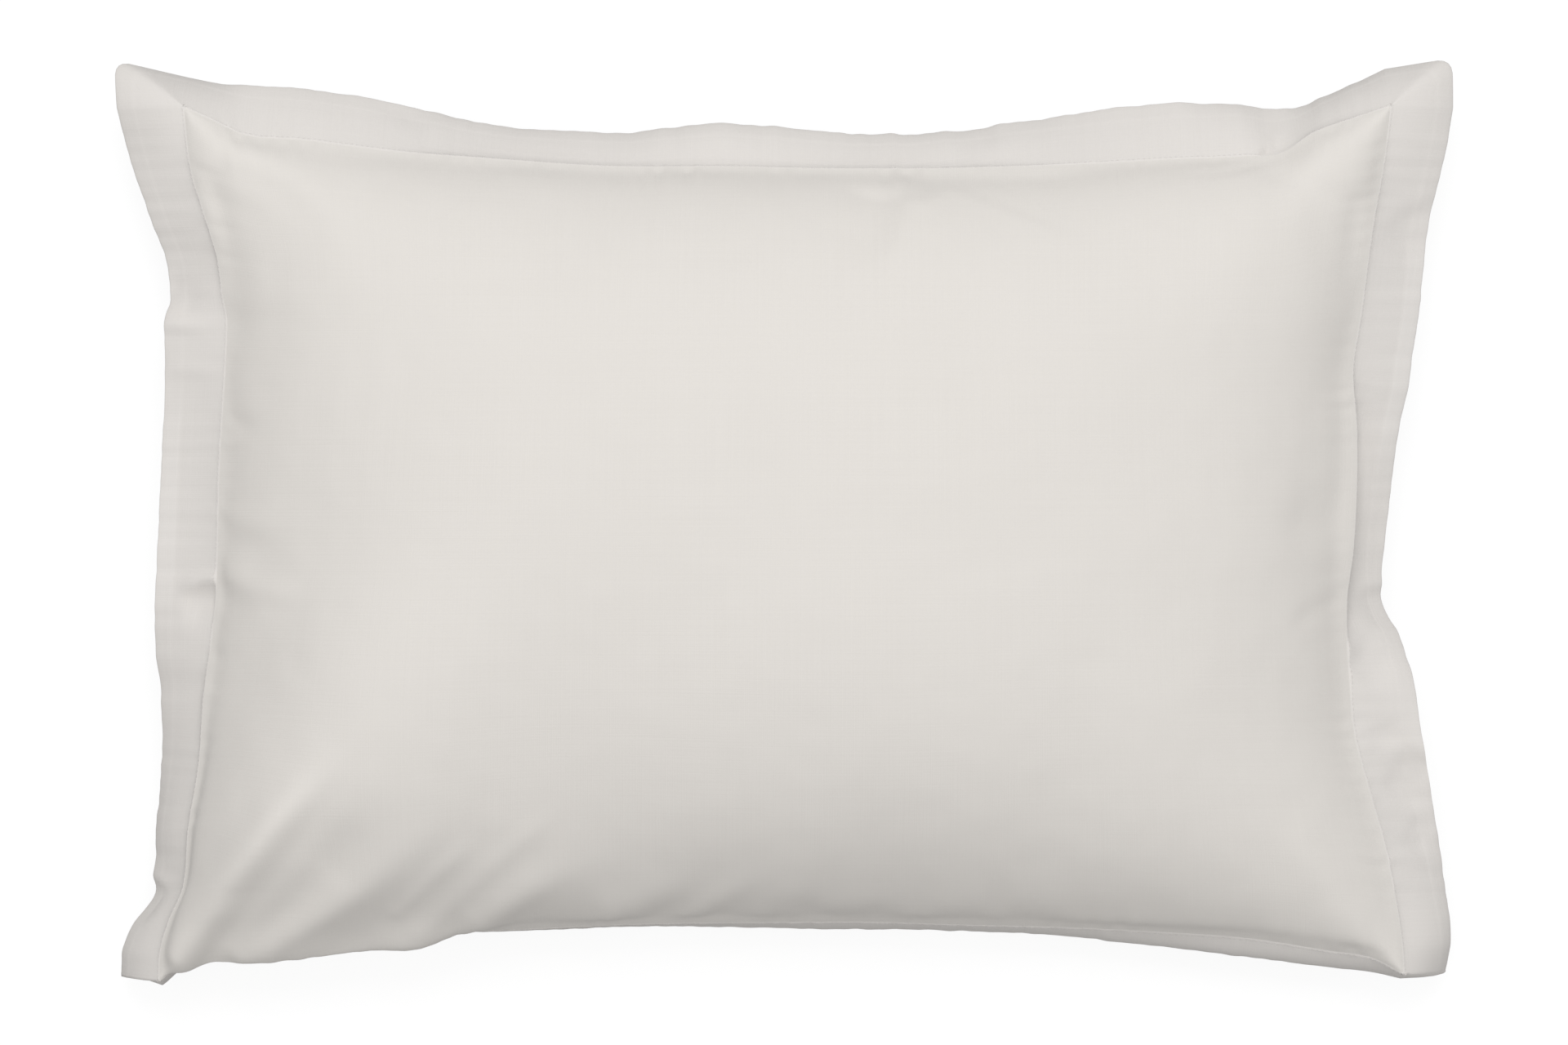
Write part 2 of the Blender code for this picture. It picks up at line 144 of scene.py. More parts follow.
# The bow and hang columns were fitted by a separate program and then adjusted by hand.
SIDES: dict[str, Side] = {
    "top": Side("top_left", "top_right", (0, -1), 10.0, stations(
        (-1.00, 0.0, 18.5, 3.0),
        (-0.95, 7.8, 23.0, 3.0),
        (-0.90, 15.5, 29.2, 1.5),
        (-0.80, 18.8, 30.0, 2.0),
        (-0.65, 25.3, 28.9, 0.9, 0.5),
        (-0.50, 29.4, 21.0, 1.7, 8.5),
        (-0.30, 34.0, 20.7, 2.0, 10.0),
        (-0.10, 34.3, 25.7, 3.2, 8.0),
        (0.10, 35.6, 21.7, 1.8, 10.5),
        (0.20, 35.6, 21.0, 2.2, 10.5),
        (0.35, 34.5, 25.7, 2.6, 4.9),
        (0.50, 32.6, 30.4, 1.4),
        (0.64, 29.9, 32.8, 1.8),
        (0.75, 28.4, 30.2, 3.5),
        (0.82, 26.0, 26.2, 0.5, 1.4),
        (0.87, 15.3, 18.6, 1.5, 5.0),
        (0.93, 7.8, 19.7, 3.2, 3.0),
        (1.00, 0.0, 23.0, 3.0),
    )),
    "right": Side("bottom_right", "top_right", (-1, 0), 8.0, stations(
        (-1.00, 0.0, 27.0, 3.0),
        (-0.93, 0.9, 30.0, 4.4, 1.5),
        (-0.85, 3.5, 30.9, 3.0, 1.6),
        (-0.72, 9.1, 32.5, 0.8),
        (-0.58, 18.1, 36.0, -2.0),
        (-0.45, 26.1, 38.6, -1.0),
        (-0.33, 28.6, 37.2, 1.2),
        (-0.22, 29.8, 32.0, 0.4, 0.6),
        (-0.13, 29.6, 23.0, -0.4, 9.5),
        (-0.03, 26.0, 20.2, -1.2, 15.4),
        (0.10, 23.6, 21.5, 0.0, 16.6),
        (0.25, 22.7, 25.4, 2.0, 13.5),
        (0.38, 24.4, 33.6, 0.8, 3.0),
        (0.52, 19.3, 34.5, 0.2, 0.9),
        (0.75, 10.5, 33.6, -0.8, 1.6),
        (0.85, 5.6, 34.9, 0.4, 1.1),
        (1.00, 0.0, 36.4, 3.0),
    )),
    "bottom": Side("bottom_left", "bottom_right", (0, 1), -5.0, stations(
        (-1.00, 0.0, 1.0, 3.0),
        (-0.95, 12.5, 0.5, 1.0, 0.0, 12.0),
        (-0.915, 19.0, 0.5, 1.0, 0.0, 14.5),
        (-0.88, 21.5, 0.5, 1.0, 0.0, 17.2),
        (-0.82, 22.5, 0.5, 1.0, 0.0, 18.0),
        (-0.75, 23.5, 0.5, 1.0, 0.0, 16.5),
        (-0.66, 24.6, 0.5, 1.0, 0.0, 13.5),
        (-0.58, 26.1, 0.5, 1.0, 0.0, 12.5),
        (-0.52, 26.8, 0.5, 1.2, 0.0, 5.0),
        (-0.45, 27.3, 0.5, 1.5, 0.0, 1.0),
        (-0.38, 28.2, 0.5, 1.8),
        (-0.25, 30.0, 0.5, 2.0),
        (-0.05, 30.8, 1.0, 3.5),
        (0.10, 30.8, 1.0, 4.7),
        (0.30, 28.7, 1.0, 4.0),
        (0.45, 27.2, 1.0, 5.4),
        (0.60, 24.5, 1.0, 8.4),
        (0.75, 20.6, 2.0, 10.4),
        (0.88, 13.4, 2.0, 9.2),
        (0.95, 9.2, 1.5, 8.0),
        (1.00, 0.0, 1.0, 3.0),
    )),
    "left": Side("bottom_left", "top_left", (1, 0), 9.0, stations(
        (-1.00, 0.0, 25.0, 3.0),
        (-0.93, 0.5, 24.4, 2.4, 1.5),
        (-0.86, 5.0, 21.7, 1.7, 5.4),
        (-0.79, 12.1, 19.8, 0.8, 6.3),
        (-0.65, 14.7, 21.8, 2.4, 5.2),
        (-0.50, 19.8, 23.8, 1.3, 2.6),
        (-0.35, 21.4, 27.0, 0.6, 5.5),
        (-0.22, 24.9, 33.4, 0.5, 0.6),
        (-0.10, 26.6, 35.7, -1.0),
        (0.20, 26.8, 34.6, -1.2),
        (0.38, 28.2, 35.5, -0.2),
        (0.50, 28.6, 36.6, 0.1),
        (0.57, 25.3, 32.4, 0.8, 1.5),
        (0.65, 22.1, 30.8, -0.2, 3.0),
        (0.75, 14.1, 32.8, 0.6, 1.6),
        (0.85, 5.9, 34.0, 0.2, 1.2),
        (1.00, 0.0, 38.4, 3.0),
    )),
}

# Folds of the front: those that run up from the lower left corner, the small ones along the bottom,
# then the left side, the top, the right side and the four corners.
# The numbers in these rows were fitted by a separate program. They weren't chosen by hand.
FRONT_FOLDS: list[Fold] = folds(
    (-328.5, -247.9, -227.7, -125.8, 1.0, 8.7, 5.6, 5.0, 0.38),
    (-293.7, -252.9, -181.3, -164.7, -0.7, 8.4, 3.4, 0.8, 0.73),
    (-214.1, -212.6, -167.7, -167.8, 1.2, 5.6, 0.0, -1.0, 0.35),
    (-165.4, -227.1, -107.3, -194.2, 2.7, 8.1, 2.5, 1.3, 0.80),
    (-201.0, -230.9, -111.9, -153.4, 4.5, 3.8, 0.4, -0.1, 0.40),
    (-90.7, -225.7, -38.7, -204.6, -0.8, 9.6, 2.1, 1.9, 0.67),
    (-57.7, -229.6, -6.3, -191.1, 1.4, 5.2, 1.7, -0.5, 0.85),
    (-15.8, -231.0, 28.7, -201.6, -3.2, 12.7, 1.4, 2.5, 0.44),
    (25.4, -222.8, 64.8, -216.7, 0.0, 8.5, 0.7, 2.4, 0.37),
    (63.6, -221.0, 97.2, -225.4, -2.9, 6.0, 0.0, 1.3, 0.51),
    (91.4, -225.0, 120.1, -226.4, 0.8, 10.0, 1.1, 2.5, 0.55),
    (130.1, -223.3, 170.6, -226.1, -1.1, 11.2, 1.3, 1.5, 0.77),
    (-313.4, -0.1, -270.0, -4.6, 0.4, 6.6, 0.5, -0.9, 0.54),
    (-310.6, 59.1, -287.3, 54.3, -3.0, 5.7, 0.0, 1.1, 0.59),
    (-321.7, -30.4, -308.2, -47.7, 5.3, 10.4, 1.1, -0.2, 0.60),
    (-310.0, -64.7, -274.1, -34.1, -3.0, 15.0, 0.3, -2.1, 0.46),
    (-314.7, -29.3, -256.8, -40.9, -2.1, 7.1, 0.3, -1.4, 0.42),
    (-309.4, 197.4, -247.2, 135.8, 12.3, 9.3, 1.6, 1.4, 0.85),
    (68.1, 190.3, 87.6, 177.2, -4.4, 7.8, -0.2, -0.9, 0.31),
    (63.8, 176.5, 53.9, 133.5, -0.3, 5.8, 1.1, 0.1, 0.55),
    (94.7, 189.0, 163.9, 159.4, 0.3, 3.5, -0.1, 0.3, 0.32),
    (291.4, 221.3, 214.4, 194.5, 9.4, 3.9, -0.5, 1.9, 0.85),
    (322.7, 173.3, 302.2, 118.9, 6.9, 11.4, 1.8, 2.5, 0.79),
    (297.1, -1.2, 276.7, 14.0, 0.2, 14.8, 0.1, 1.7, 0.79),
    (315.4, -43.0, 278.5, -61.8, -3.6, 6.0, -0.2, 0.8, 0.38),
    (323.0, -241.9, 270.7, -157.4, -4.7, 13.9, 0.2, -2.5, 0.40),
)

# Folds of the border, side by side: x runs along the side from its middle, towards +X or +Y, and y
# runs outwards from the stitch line.
BORDER_FOLDS: dict[str, list[Fold]] = {
    "top": folds(
        (-206.0, 38.0, -214.0, 14.0, 0.0, 6.0, 0.6, 0.3, 0.60),
        (96.0, 38.0, 104.0, 10.0, 0.0, 8.0, -0.6, 0.3, 0.60),
        (276.0, 3.0, 291.0, 13.0, 0.5, 2.6, 0.8, 2.6, 0.50),
    ),
    "right": folds(
        (190.0, 36.0, 174.0, 8.0, 2.0, 7.0, 0.8, 0.8, 0.50),
        (-30.0, 40.0, -34.0, 14.0, 0.0, 4.0, 0.9, 0.8, 0.60),
        (-50.0, 0.0, -69.0, 11.0, 1.0, 4.0, 0.9, 0.7, 0.60),
        (-73.0, 5.0, -89.0, 22.0, 1.0, 4.5, 0.9, 0.8, 0.60),
        (-112.0, 11.0, -124.0, 15.0, 0.0, 3.5, 0.6, 0.5, 0.60),
        (-133.0, 40.0, -143.0, 27.0, 0.0, 4.0, -0.6, 0.6, 0.60),
        (-146.0, 16.0, -158.0, 37.0, 1.0, 4.0, 0.8, 0.7, 0.50),
        (-176.0, 18.0, -184.0, 28.0, 0.0, 3.5, 0.5, 0.5, 0.60),
    ),
    "bottom": [],
    "left": folds(
        (137.0, 40.0, 128.0, 14.0, 0.0, 4.0, -0.8, 1.0, 0.60),
        (119.0, 38.0, 117.0, 6.0, 0.0, 3.5, 0.3, 0.5, 0.50),
        (97.0, 36.0, 94.0, 5.0, 0.0, 4.0, 0.4, 0.5, 0.50),
        (-24.0, 1.0, -32.0, 23.0, -3.0, 3.5, -1.5, 0.9, 0.30),
        (-196.0, 40.0, -202.0, 17.0, 0.0, 4.0, 1.2, 0.8, 0.50),
    ),
}

# How far each side's cloth stands out a little way inside the stitch line, near it and farther in.
# These were fitted in the same way.
EDGE_LIFTS: dict[str, tuple[float, float]] = {
    "top": (-1.30, -0.45),
    "right": (-1.12, -1.09),
    "bottom": (0.13, -1.18),
    "left": (-0.88, -0.68),
}

# Where the allowance turned in along the border's edge shows through: middle and half length.
HEM_SHOWS: dict[str, tuple[float, float]] = {
    "left": (20.0, 62.0),
    "right": (105.0, 58.0),
}

# Slow rises and hollows: place, radius and height, fitted in the same way.
SWELLS: list[Swell] = [Swell(*row) for row in (
    (-129.0, -28.0, 107.0, 6.0),
    (209.0, 24.0, 103.0, -5.0),
    (138.0, 117.0, 86.0, -2.0),
    (281.0, 182.0, 62.0, 3.0),
    (-126.0, -207.0, 48.0, 5.0),
    (19.0, -117.0, 113.0, 9.0),
    (216.0, -205.0, 57.0, 4.0),
    (-94.0, -66.0, 103.0, -8.0),
    (-233.0, -150.0, 78.0, 21.0),
    (-298.0, -196.0, 35.0, 7.0),
    (-266.0, -180.0, 40.0, 11.0),
    (-302.0, -232.0, 41.0, 9.0),
    (-195.0, -90.0, 68.0, 15.0),
    (-400.0, -110.0, 83.0, -10.0),
    (-180.0, -115.0, 65.0, -12.0),
)]


def fold_height(rows: list[Fold], x: np.ndarray, y: np.ndarray) -> np.ndarray:
    """Add up how far some folds move the cloth outwards.

    Args:
        rows: the folds, in the same flat coordinates as the places.
        x: places, in millimetres.
        y: places, in millimetres.

    Returns:
        The height at each place, in millimetres.
    """
    sharpness, sunken_width, raised_width = 1.6, 2.4, 1.2
    height = np.zeros_like(x)
    for fold in rows:
        run = np.array([fold.x1 - fold.x0, fold.y1 - fold.y0])
        length = float(np.hypot(*run))
        run = run / length
        place = (x - fold.x0) * run[0] + (y - fold.y0) * run[1]
        share = place / length
        held = np.clip(share, 0, 1)
        offset = (y - fold.y0) * run[0] - (x - fold.x0) * run[1] - fold.bend * 4 * held * (1 - held)
        d = offset / fold.half_width
        before = np.clip(-place / fold.half_width, 0, None)
        after = np.clip((share - (1 - fold.fade)) / fold.fade, 0, None)
        envelope = np.exp(-(before**2)) * np.exp(-((sharpness * after) ** 2))
        trail = np.where(d * fold.step < 0, sunken_width, raised_width)
        odd = d * np.exp((1 - (d / trail) ** 2) / 2)
        height += envelope * (fold.step * odd - fold.dip * np.exp(-d * d))
    return height


@dataclass(frozen=True)
class Ripple:
    """A fixed mixture of waves that stands for small unevenness.

    Attributes:
        seed: what the mixture is drawn from.
        shortest: shortest wavelength, in millimetres.
        longest: longest wavelength, in millimetres.
        waves: how many waves are mixed.
    """

    seed: int
    shortest: float
    longest: float
    waves: int = 24

    def over(self, x: np.ndarray, y: np.ndarray | None = None) -> np.ndarray:
        """Mix the waves along a line, or over a plane.

        Args:
            x: places on the line or plane, in millimetres.
            y: the plane's other coordinate.

        Returns:
            The mixture at each place, with a spread of about 1.
        """
        rng = np.random.default_rng(self.seed)
        length = np.exp(rng.uniform(math.log(self.shortest), math.log(self.longest), self.waves))
        phase = rng.uniform(0, 2 * math.pi, self.waves)
        places = [x] * self.waves
        if y is not None:
            places = [x * math.cos(t) + y * math.sin(t) for t in rng.uniform(0, 2 * math.pi, self.waves)]
        total = sum(np.sin(2 * math.pi * p / a + b) for p, a, b in zip(places, length, phase))
        return total * math.sqrt(2 / self.waves)


@dataclass
class CaseShape:
    """The shape of the filled case, in millimetres: everything that its cloth pieces share."""

    length: float = 700.0
    width: float = 500.0
    border: float = 40.0
    crown: float = 100.0
    power_long: float = 2.9
    power_short: float = 2.34
    corner_fullness: float = 0.91
    steepness: float = 0.89
    back_steepness: float = 0.70
    back_contact: float = 0.50
    edge_fade: float = 3.0
    lip_peak: float = 9.0
    fold_fade: float = 7.0
    lower_fade: float = 6.0
    tip_rounding: float = 10.0
    tip_straight: float = 0.3
    lap_x: float = 170.0
    lap_step: float = 0.8
    lap_hem: float = 20.0
    lap_row: tuple[float, float, int] = (-150.0, 125.0, 120)
    lap_row_height: float = 0.12
    pucker: float = 0.34
    pucker_start: float = 2.5
    pucker_reach: float = 13.0
    slow_ripple: float = 0.35
    fine_ripple: float = 0.07
    lift_peaks: tuple[float, float] = (6.0, 22.0)
    sides: dict[str, Side] = field(default_factory=lambda: SIDES)
    corners: dict[str, Corner] = field(default_factory=lambda: CORNERS)

    def corner_point(self, name: str) -> np.ndarray:
        """Return a stitch-line corner."""
        c = self.corners[name]
        return np.array([c.side_x * (self.length / 2 - c.draw_x),
                         c.side_y * (self.width / 2 - c.draw_y), c.height])

    def tip_point(self, name: str) -> np.ndarray:
        """Return the border's outer corner."""
        c = self.corners[name]
        return np.array([c.tip_x, c.tip_y, c.tip_height])

    def column(self, side: str, name: str, along: np.ndarray) -> np.ndarray:
        """Read one column of a side's table on a smooth curve.

        Args:
            side: name of the side.
            name: name of the column.
            along: places on the side, -1 to 1.

        Returns:
            The column's value at each place.
        """
        rows = self.sides[side].stations
        x = np.array([row.along for row in rows])
        y = np.array([getattr(row, name) for row in rows])
        secant = np.diff(y) / np.diff(x)
        slope = np.concatenate([secant[:1], (secant[:-1] + secant[1:]) / 2, secant[-1:]])
        turning = np.concatenate([[False], secant[:-1] * secant[1:] <= 0, [False]])
        slope[turning] = 0.0
        i = np.clip(np.searchsorted(x, along, side="right") - 1, 0, len(x) - 2)
        h = x[i + 1] - x[i]
        t = (along - x[i]) / h
        return ((2 * t**3 - 3 * t**2 + 1) * y[i] + (t**3 - 2 * t**2 + t) * h * slope[i]
                + (3 * t**2 - 2 * t**3) * y[i + 1] + (t**3 - t**2) * h * slope[i + 1])

    def distances(self, u: np.ndarray, v: np.ndarray) -> dict[str, tuple[np.ndarray, np.ndarray]]:
        """Return, for each side, how far in from it a place is and where along it that is."""
        return {"top": (1 - v, u), "bottom": (1 + v, u), "right": (1 - u, v), "left": (1 + u, v)}

    def half_size(self, side: str, across: bool) -> float:
        """Return half the case's size across a side, or along it."""
        return (self.width if (side in ("top", "bottom")) == across else self.length) / 2

    def seat(self, u: np.ndarray, v: np.ndarray, lipped: bool) -> np.ndarray:
        """Place the stitched sheet before it is filled.

        Args:
            u: places along the length, -1 to 1.
            v: places along the width, -1 to 1.
            lipped: whether the front's lips bulge out.

        Returns:
            Points, one for each place.
        """
        weight_x = ((1 - u) / 2, (1 + u) / 2)
        weight_y = ((1 - v) / 2, (1 + v) / 2)
        names = (("bottom_left", "top_left"), ("bottom_right", "top_right"))
        place = sum((weight_x[i] * weight_y[j])[..., None] * self.corner_point(names[i][j])
                    for i in (0, 1) for j in (0, 1))
        for name, (away, along) in self.distances(u, v).items():
            side = self.sides[name]
            fade = np.clip(1 - away, 0, 1) ** self.edge_fade
            inward = self.column(name, "draw", along) * fade
            if lipped:
                share = away * self.half_size(name, True) / self.lip_peak
                inward -= self.column(name, "lip", along) * share * np.exp(1 - share)
            place = place + inward[..., None] * np.array([*side.inward, 0.0])
            place[..., 2] += side.rise * (1 - along**2) * fade
        return place

    def filled_share(self, u: np.ndarray, v: np.ndarray) -> np.ndarray:
        """Return 0 on the stitch line and 1 in the middle of the case."""
        across = np.clip(1 - np.abs(u) ** self.power_long, 0, 1)
        along = np.clip(1 - np.abs(v) ** self.power_short, 0, 1)
        product = across * along
        filled_out = product / np.maximum(across + along - product, TINY)
        return product + self.corner_fullness * (filled_out - product)

    def seam_distance(self, u: np.ndarray, v: np.ndarray) -> np.ndarray:
        """Return how far inside the stitch line each place lies."""
        return np.minimum((1 - np.abs(u)) * self.length, (1 - np.abs(v)) * self.width) / 2

    def gathers(self, side: str, s: np.ndarray) -> np.ndarray:
        """Return how far the small gathers of a side's stitching stand up at s along it."""
        seed = 11 + list(self.sides).index(side)
        fine = Ripple(seed, 8.0, 19.0).over(s)
        groups = 0.55 + 0.45 * np.tanh(Ripple(seed + 20, 60.0, 190.0, 8).over(s))
        return self.pucker * fine * groups

    def puckers(self, u: np.ndarray, v: np.ndarray) -> np.ndarray:
        """Return how far the gathers move the cloth outwards inside the stitch line."""
        height = np.zeros_like(u)
        for name, (away, along) in self.distances(u, v).items():
            depth = away * self.half_size(name, True)
            fade = 1 - np.exp(-((depth / self.pucker_start) ** 2))
            fade *= np.exp(-((depth / self.pucker_reach) ** 1.3))
            ends = 1 - np.abs(along) ** 12
            height += self.gathers(name, along * self.half_size(name, False)) * fade * ends
        return height

    def edge_lift(self, u: np.ndarray, v: np.ndarray) -> np.ndarray:
        """Return how far the front stands out just inside the stitch line."""
        height = np.zeros_like(u)
        for name, (away, along) in self.distances(u, v).items():
            ends = 1 - np.abs(along) ** 8
            for lift, peak in zip(EDGE_LIFTS[name], self.lift_peaks):
                share = away * self.half_size(name, True) / peak
                height += ends * lift * share * np.exp(1 - share)
        return height

    def normals(self, place: np.ndarray) -> np.ndarray:
        """Return the unit normals of a grid of points."""
        normal = np.cross(np.gradient(place, axis=1), np.gradient(place, axis=0))
        return normal / np.maximum(np.linalg.norm(normal, axis=2, keepdims=True), TINY)

    def front(self, u: np.ndarray, v: np.ndarray) -> np.ndarray:
        """Return the front of the filled case."""
        place = self.seat(u, v, True)
        place[..., 2] += self.crown * self.filled_share(u, v) ** self.steepness
        normal = self.normals(place)
        x, y = place[..., 0], place[..., 1]
        inside = self.seam_distance(u, v)
        fade = 1 - np.exp(-((inside / self.fold_fade) ** 2))
        fade *= 1 - np.exp(-(((1 + v) * self.width / 2 / self.lower_fade) ** 2))
        height = fold_height(FRONT_FOLDS, x, y)
        for s in SWELLS:
            height += s.height * np.exp(-((x - s.x) ** 2 + (y - s.y) ** 2) / s.radius**2)
        height += self.slow_ripple * Ripple(5, 70.0, 200.0).over(x, y)
        height += self.fine_ripple * Ripple(6, 18.0, 50.0, 40).over(x, y)
        height = fade * height + self.puckers(u, v) + self.edge_lift(u, v)
        return place + normal * height[..., None]

    def back(self, u: np.ndarray, v: np.ndarray) -> np.ndarray:
        """Return the back of the filled case, flat where it rests, with its lapped edge."""
        place = self.seat(u, v, False)
        share = np.clip(self.filled_share(u, v) / self.back_contact, 0, 1)
        place[..., 2] *= 1 - (1 - (1 - share) ** 2) ** self.back_steepness
        lap = np.where(u * self.length / 2 < self.lap_x, self.lap_step, 0.0)
        place[..., 2] = np.maximum(place[..., 2], lap * share)
        normal = -self.normals(place)
        return place + normal * (self.puckers(u, v) * (1 - share))[..., None]


def crowded(count: int, crowding: float) -> np.ndarray:
    """Return count + 1 places from -1 to 1, closer together at the ends."""
    even = np.linspace(-1, 1, count + 1)
    return (1 - crowding) * even + crowding * np.sin(even * math.pi / 2)


def add_object(name: str, data: bpy.types.ID) -> bpy.types.Object:
    """Make an object of some data and link it into the scene."""
    obj = bpy.data.objects.new(name, data)
    bpy.context.scene.collection.objects.link(obj)
    return obj


def add_mesh(name: str, points: np.ndarray, faces: list[tuple[int, ...]], flat: np.ndarray,
             marks: dict[str, np.ndarray], creased_at: int = 0) -> bpy.types.Object:
    """Make a smooth mesh object.

    Args:
        name: name of the object.
        points: its points, in millimetres.
        faces: its faces.
        flat: each point's place on the flat cloth, in millimetres.
        marks: number attributes, one value for each point.
        creased_at: a face number; edges between the faces before it and the rest are creased.

    Returns:
        The object, linked into the scene.
    """
    mesh = bpy.data.meshes.new(name)
    mesh.from_pydata((points * MM).tolist(), [], faces)
    bm = bmesh.new()
    bm.from_mesh(mesh)
    bmesh.ops.recalc_face_normals(bm, faces=bm.faces)
    creased = [len({face.index < creased_at for face in edge.link_faces}) == 2 for edge in bm.edges]
    bm.to_mesh(mesh)
    bm.free()
    mesh.shade_smooth()
    mesh.attributes.new("sharp_edge", "BOOLEAN", "EDGE").data.foreach_set("value", creased)
    for mark, values in marks.items():
        mesh.attributes.new(mark, "FLOAT", "POINT").data.foreach_set("value", values.astype(np.float32))
    corner = np.empty(len(mesh.loops), dtype=np.int32)
    mesh.loops.foreach_get("vertex_index", corner)
    layer = mesh.uv_layers.new(name=FLAT_MAP)
    layer.data.foreach_set("uv", (flat[corner] * MM).astype(np.float32).ravel())
    return add_object(name, mesh)


@dataclass
class FilledBody:
    """The filled part inside the stitch line, front and back in one closed piece."""

    shape: CaseShape
    columns: int = 332
    rows: int = 232
    crowding: float = 0.35
    lap_half: float = 0.4
    seam_fade: float = 6.0

    def grid(self) -> tuple[np.ndarray, np.ndarray]:
        """Return the grid's u and v, with three columns close together at the lapped edge."""
        u = crowded(self.columns, self.crowding)
        lap, half = (size / (self.shape.length / 2) for size in (self.shape.lap_x, self.lap_half))
        k = 2 * int(round(int(np.argmin(np.abs(u - lap))) / 2)) - 2
        u[k + 1], u[k + 2], u[k + 3] = lap - half, lap, lap + half
        u[k + 4] = (u[k + 3] + u[k + 5]) / 2
        return np.meshgrid(u, crowded(self.rows, self.crowding))

    def build(self) -> bpy.types.Object:
        """Build the piece.

        Returns:
            The body, with its flat cloth map and its seam attribute, which places painted light at the
            stitches.
        """
        u, v = self.grid()
        wide = self.columns + 1
        front = self.shape.front(u, v).reshape(-1, 3)
        back_u, back_v = u[2:-2:2, 2:-2:2], v[2:-2:2, 2:-2:2]
        full_back = self.shape.back(u[::2, ::2], v[::2, ::2])
        back = full_back[1:-1, 1:-1].reshape(-1, 3)
        back_wide = back_u.shape[1]

        def low(i: int, j: int) -> int:
            """Return the point under coarse column i and row j: on the rim it is the front's."""
            if i in (0, self.columns // 2) or j in (0, self.rows // 2):
                return 2 * j * wide + 2 * i
            return len(front) + (j - 1) * back_wide + i - 1

        faces: list[tuple[int, ...]] = []
        for j in range(self.rows):
            for i in range(self.columns):
                a = j * wide + i
                faces.append((a, a + 1, a + wide + 1, a + wide))
        for j in range(self.rows // 2):
            for i in range(self.columns // 2):
                loop = [low(i, j)]
                if i == 0:
                    loop.append((2 * j + 1) * wide)
                loop.append(low(i, j + 1))
                if j == self.rows // 2 - 1:
                    loop.append(self.rows * wide + 2 * i + 1)
                loop.append(low(i + 1, j + 1))
                if i == self.columns // 2 - 1:
                    loop.append((2 * j + 1) * wide + self.columns)
                loop.append(low(i + 1, j))
                if j == 0:
                    loop.append(2 * i + 1)
                faces.append(tuple(loop))
        half = np.array([self.shape.length / 2, self.shape.width / 2])
        all_u = np.concatenate([u.ravel(), back_u.ravel()])
        all_v = np.concatenate([v.ravel(), back_v.ravel()])
        # Where painted light brightens the body next to the stitches.
        seam = np.exp(-self.shape.seam_distance(all_u, all_v) / self.seam_fade)
        return add_mesh("filled_body", np.vstack([front, back]), faces,
                        np.stack([all_u, all_v], axis=1) * half, {SEAM_MARK: seam},
                        self.rows * self.columns)


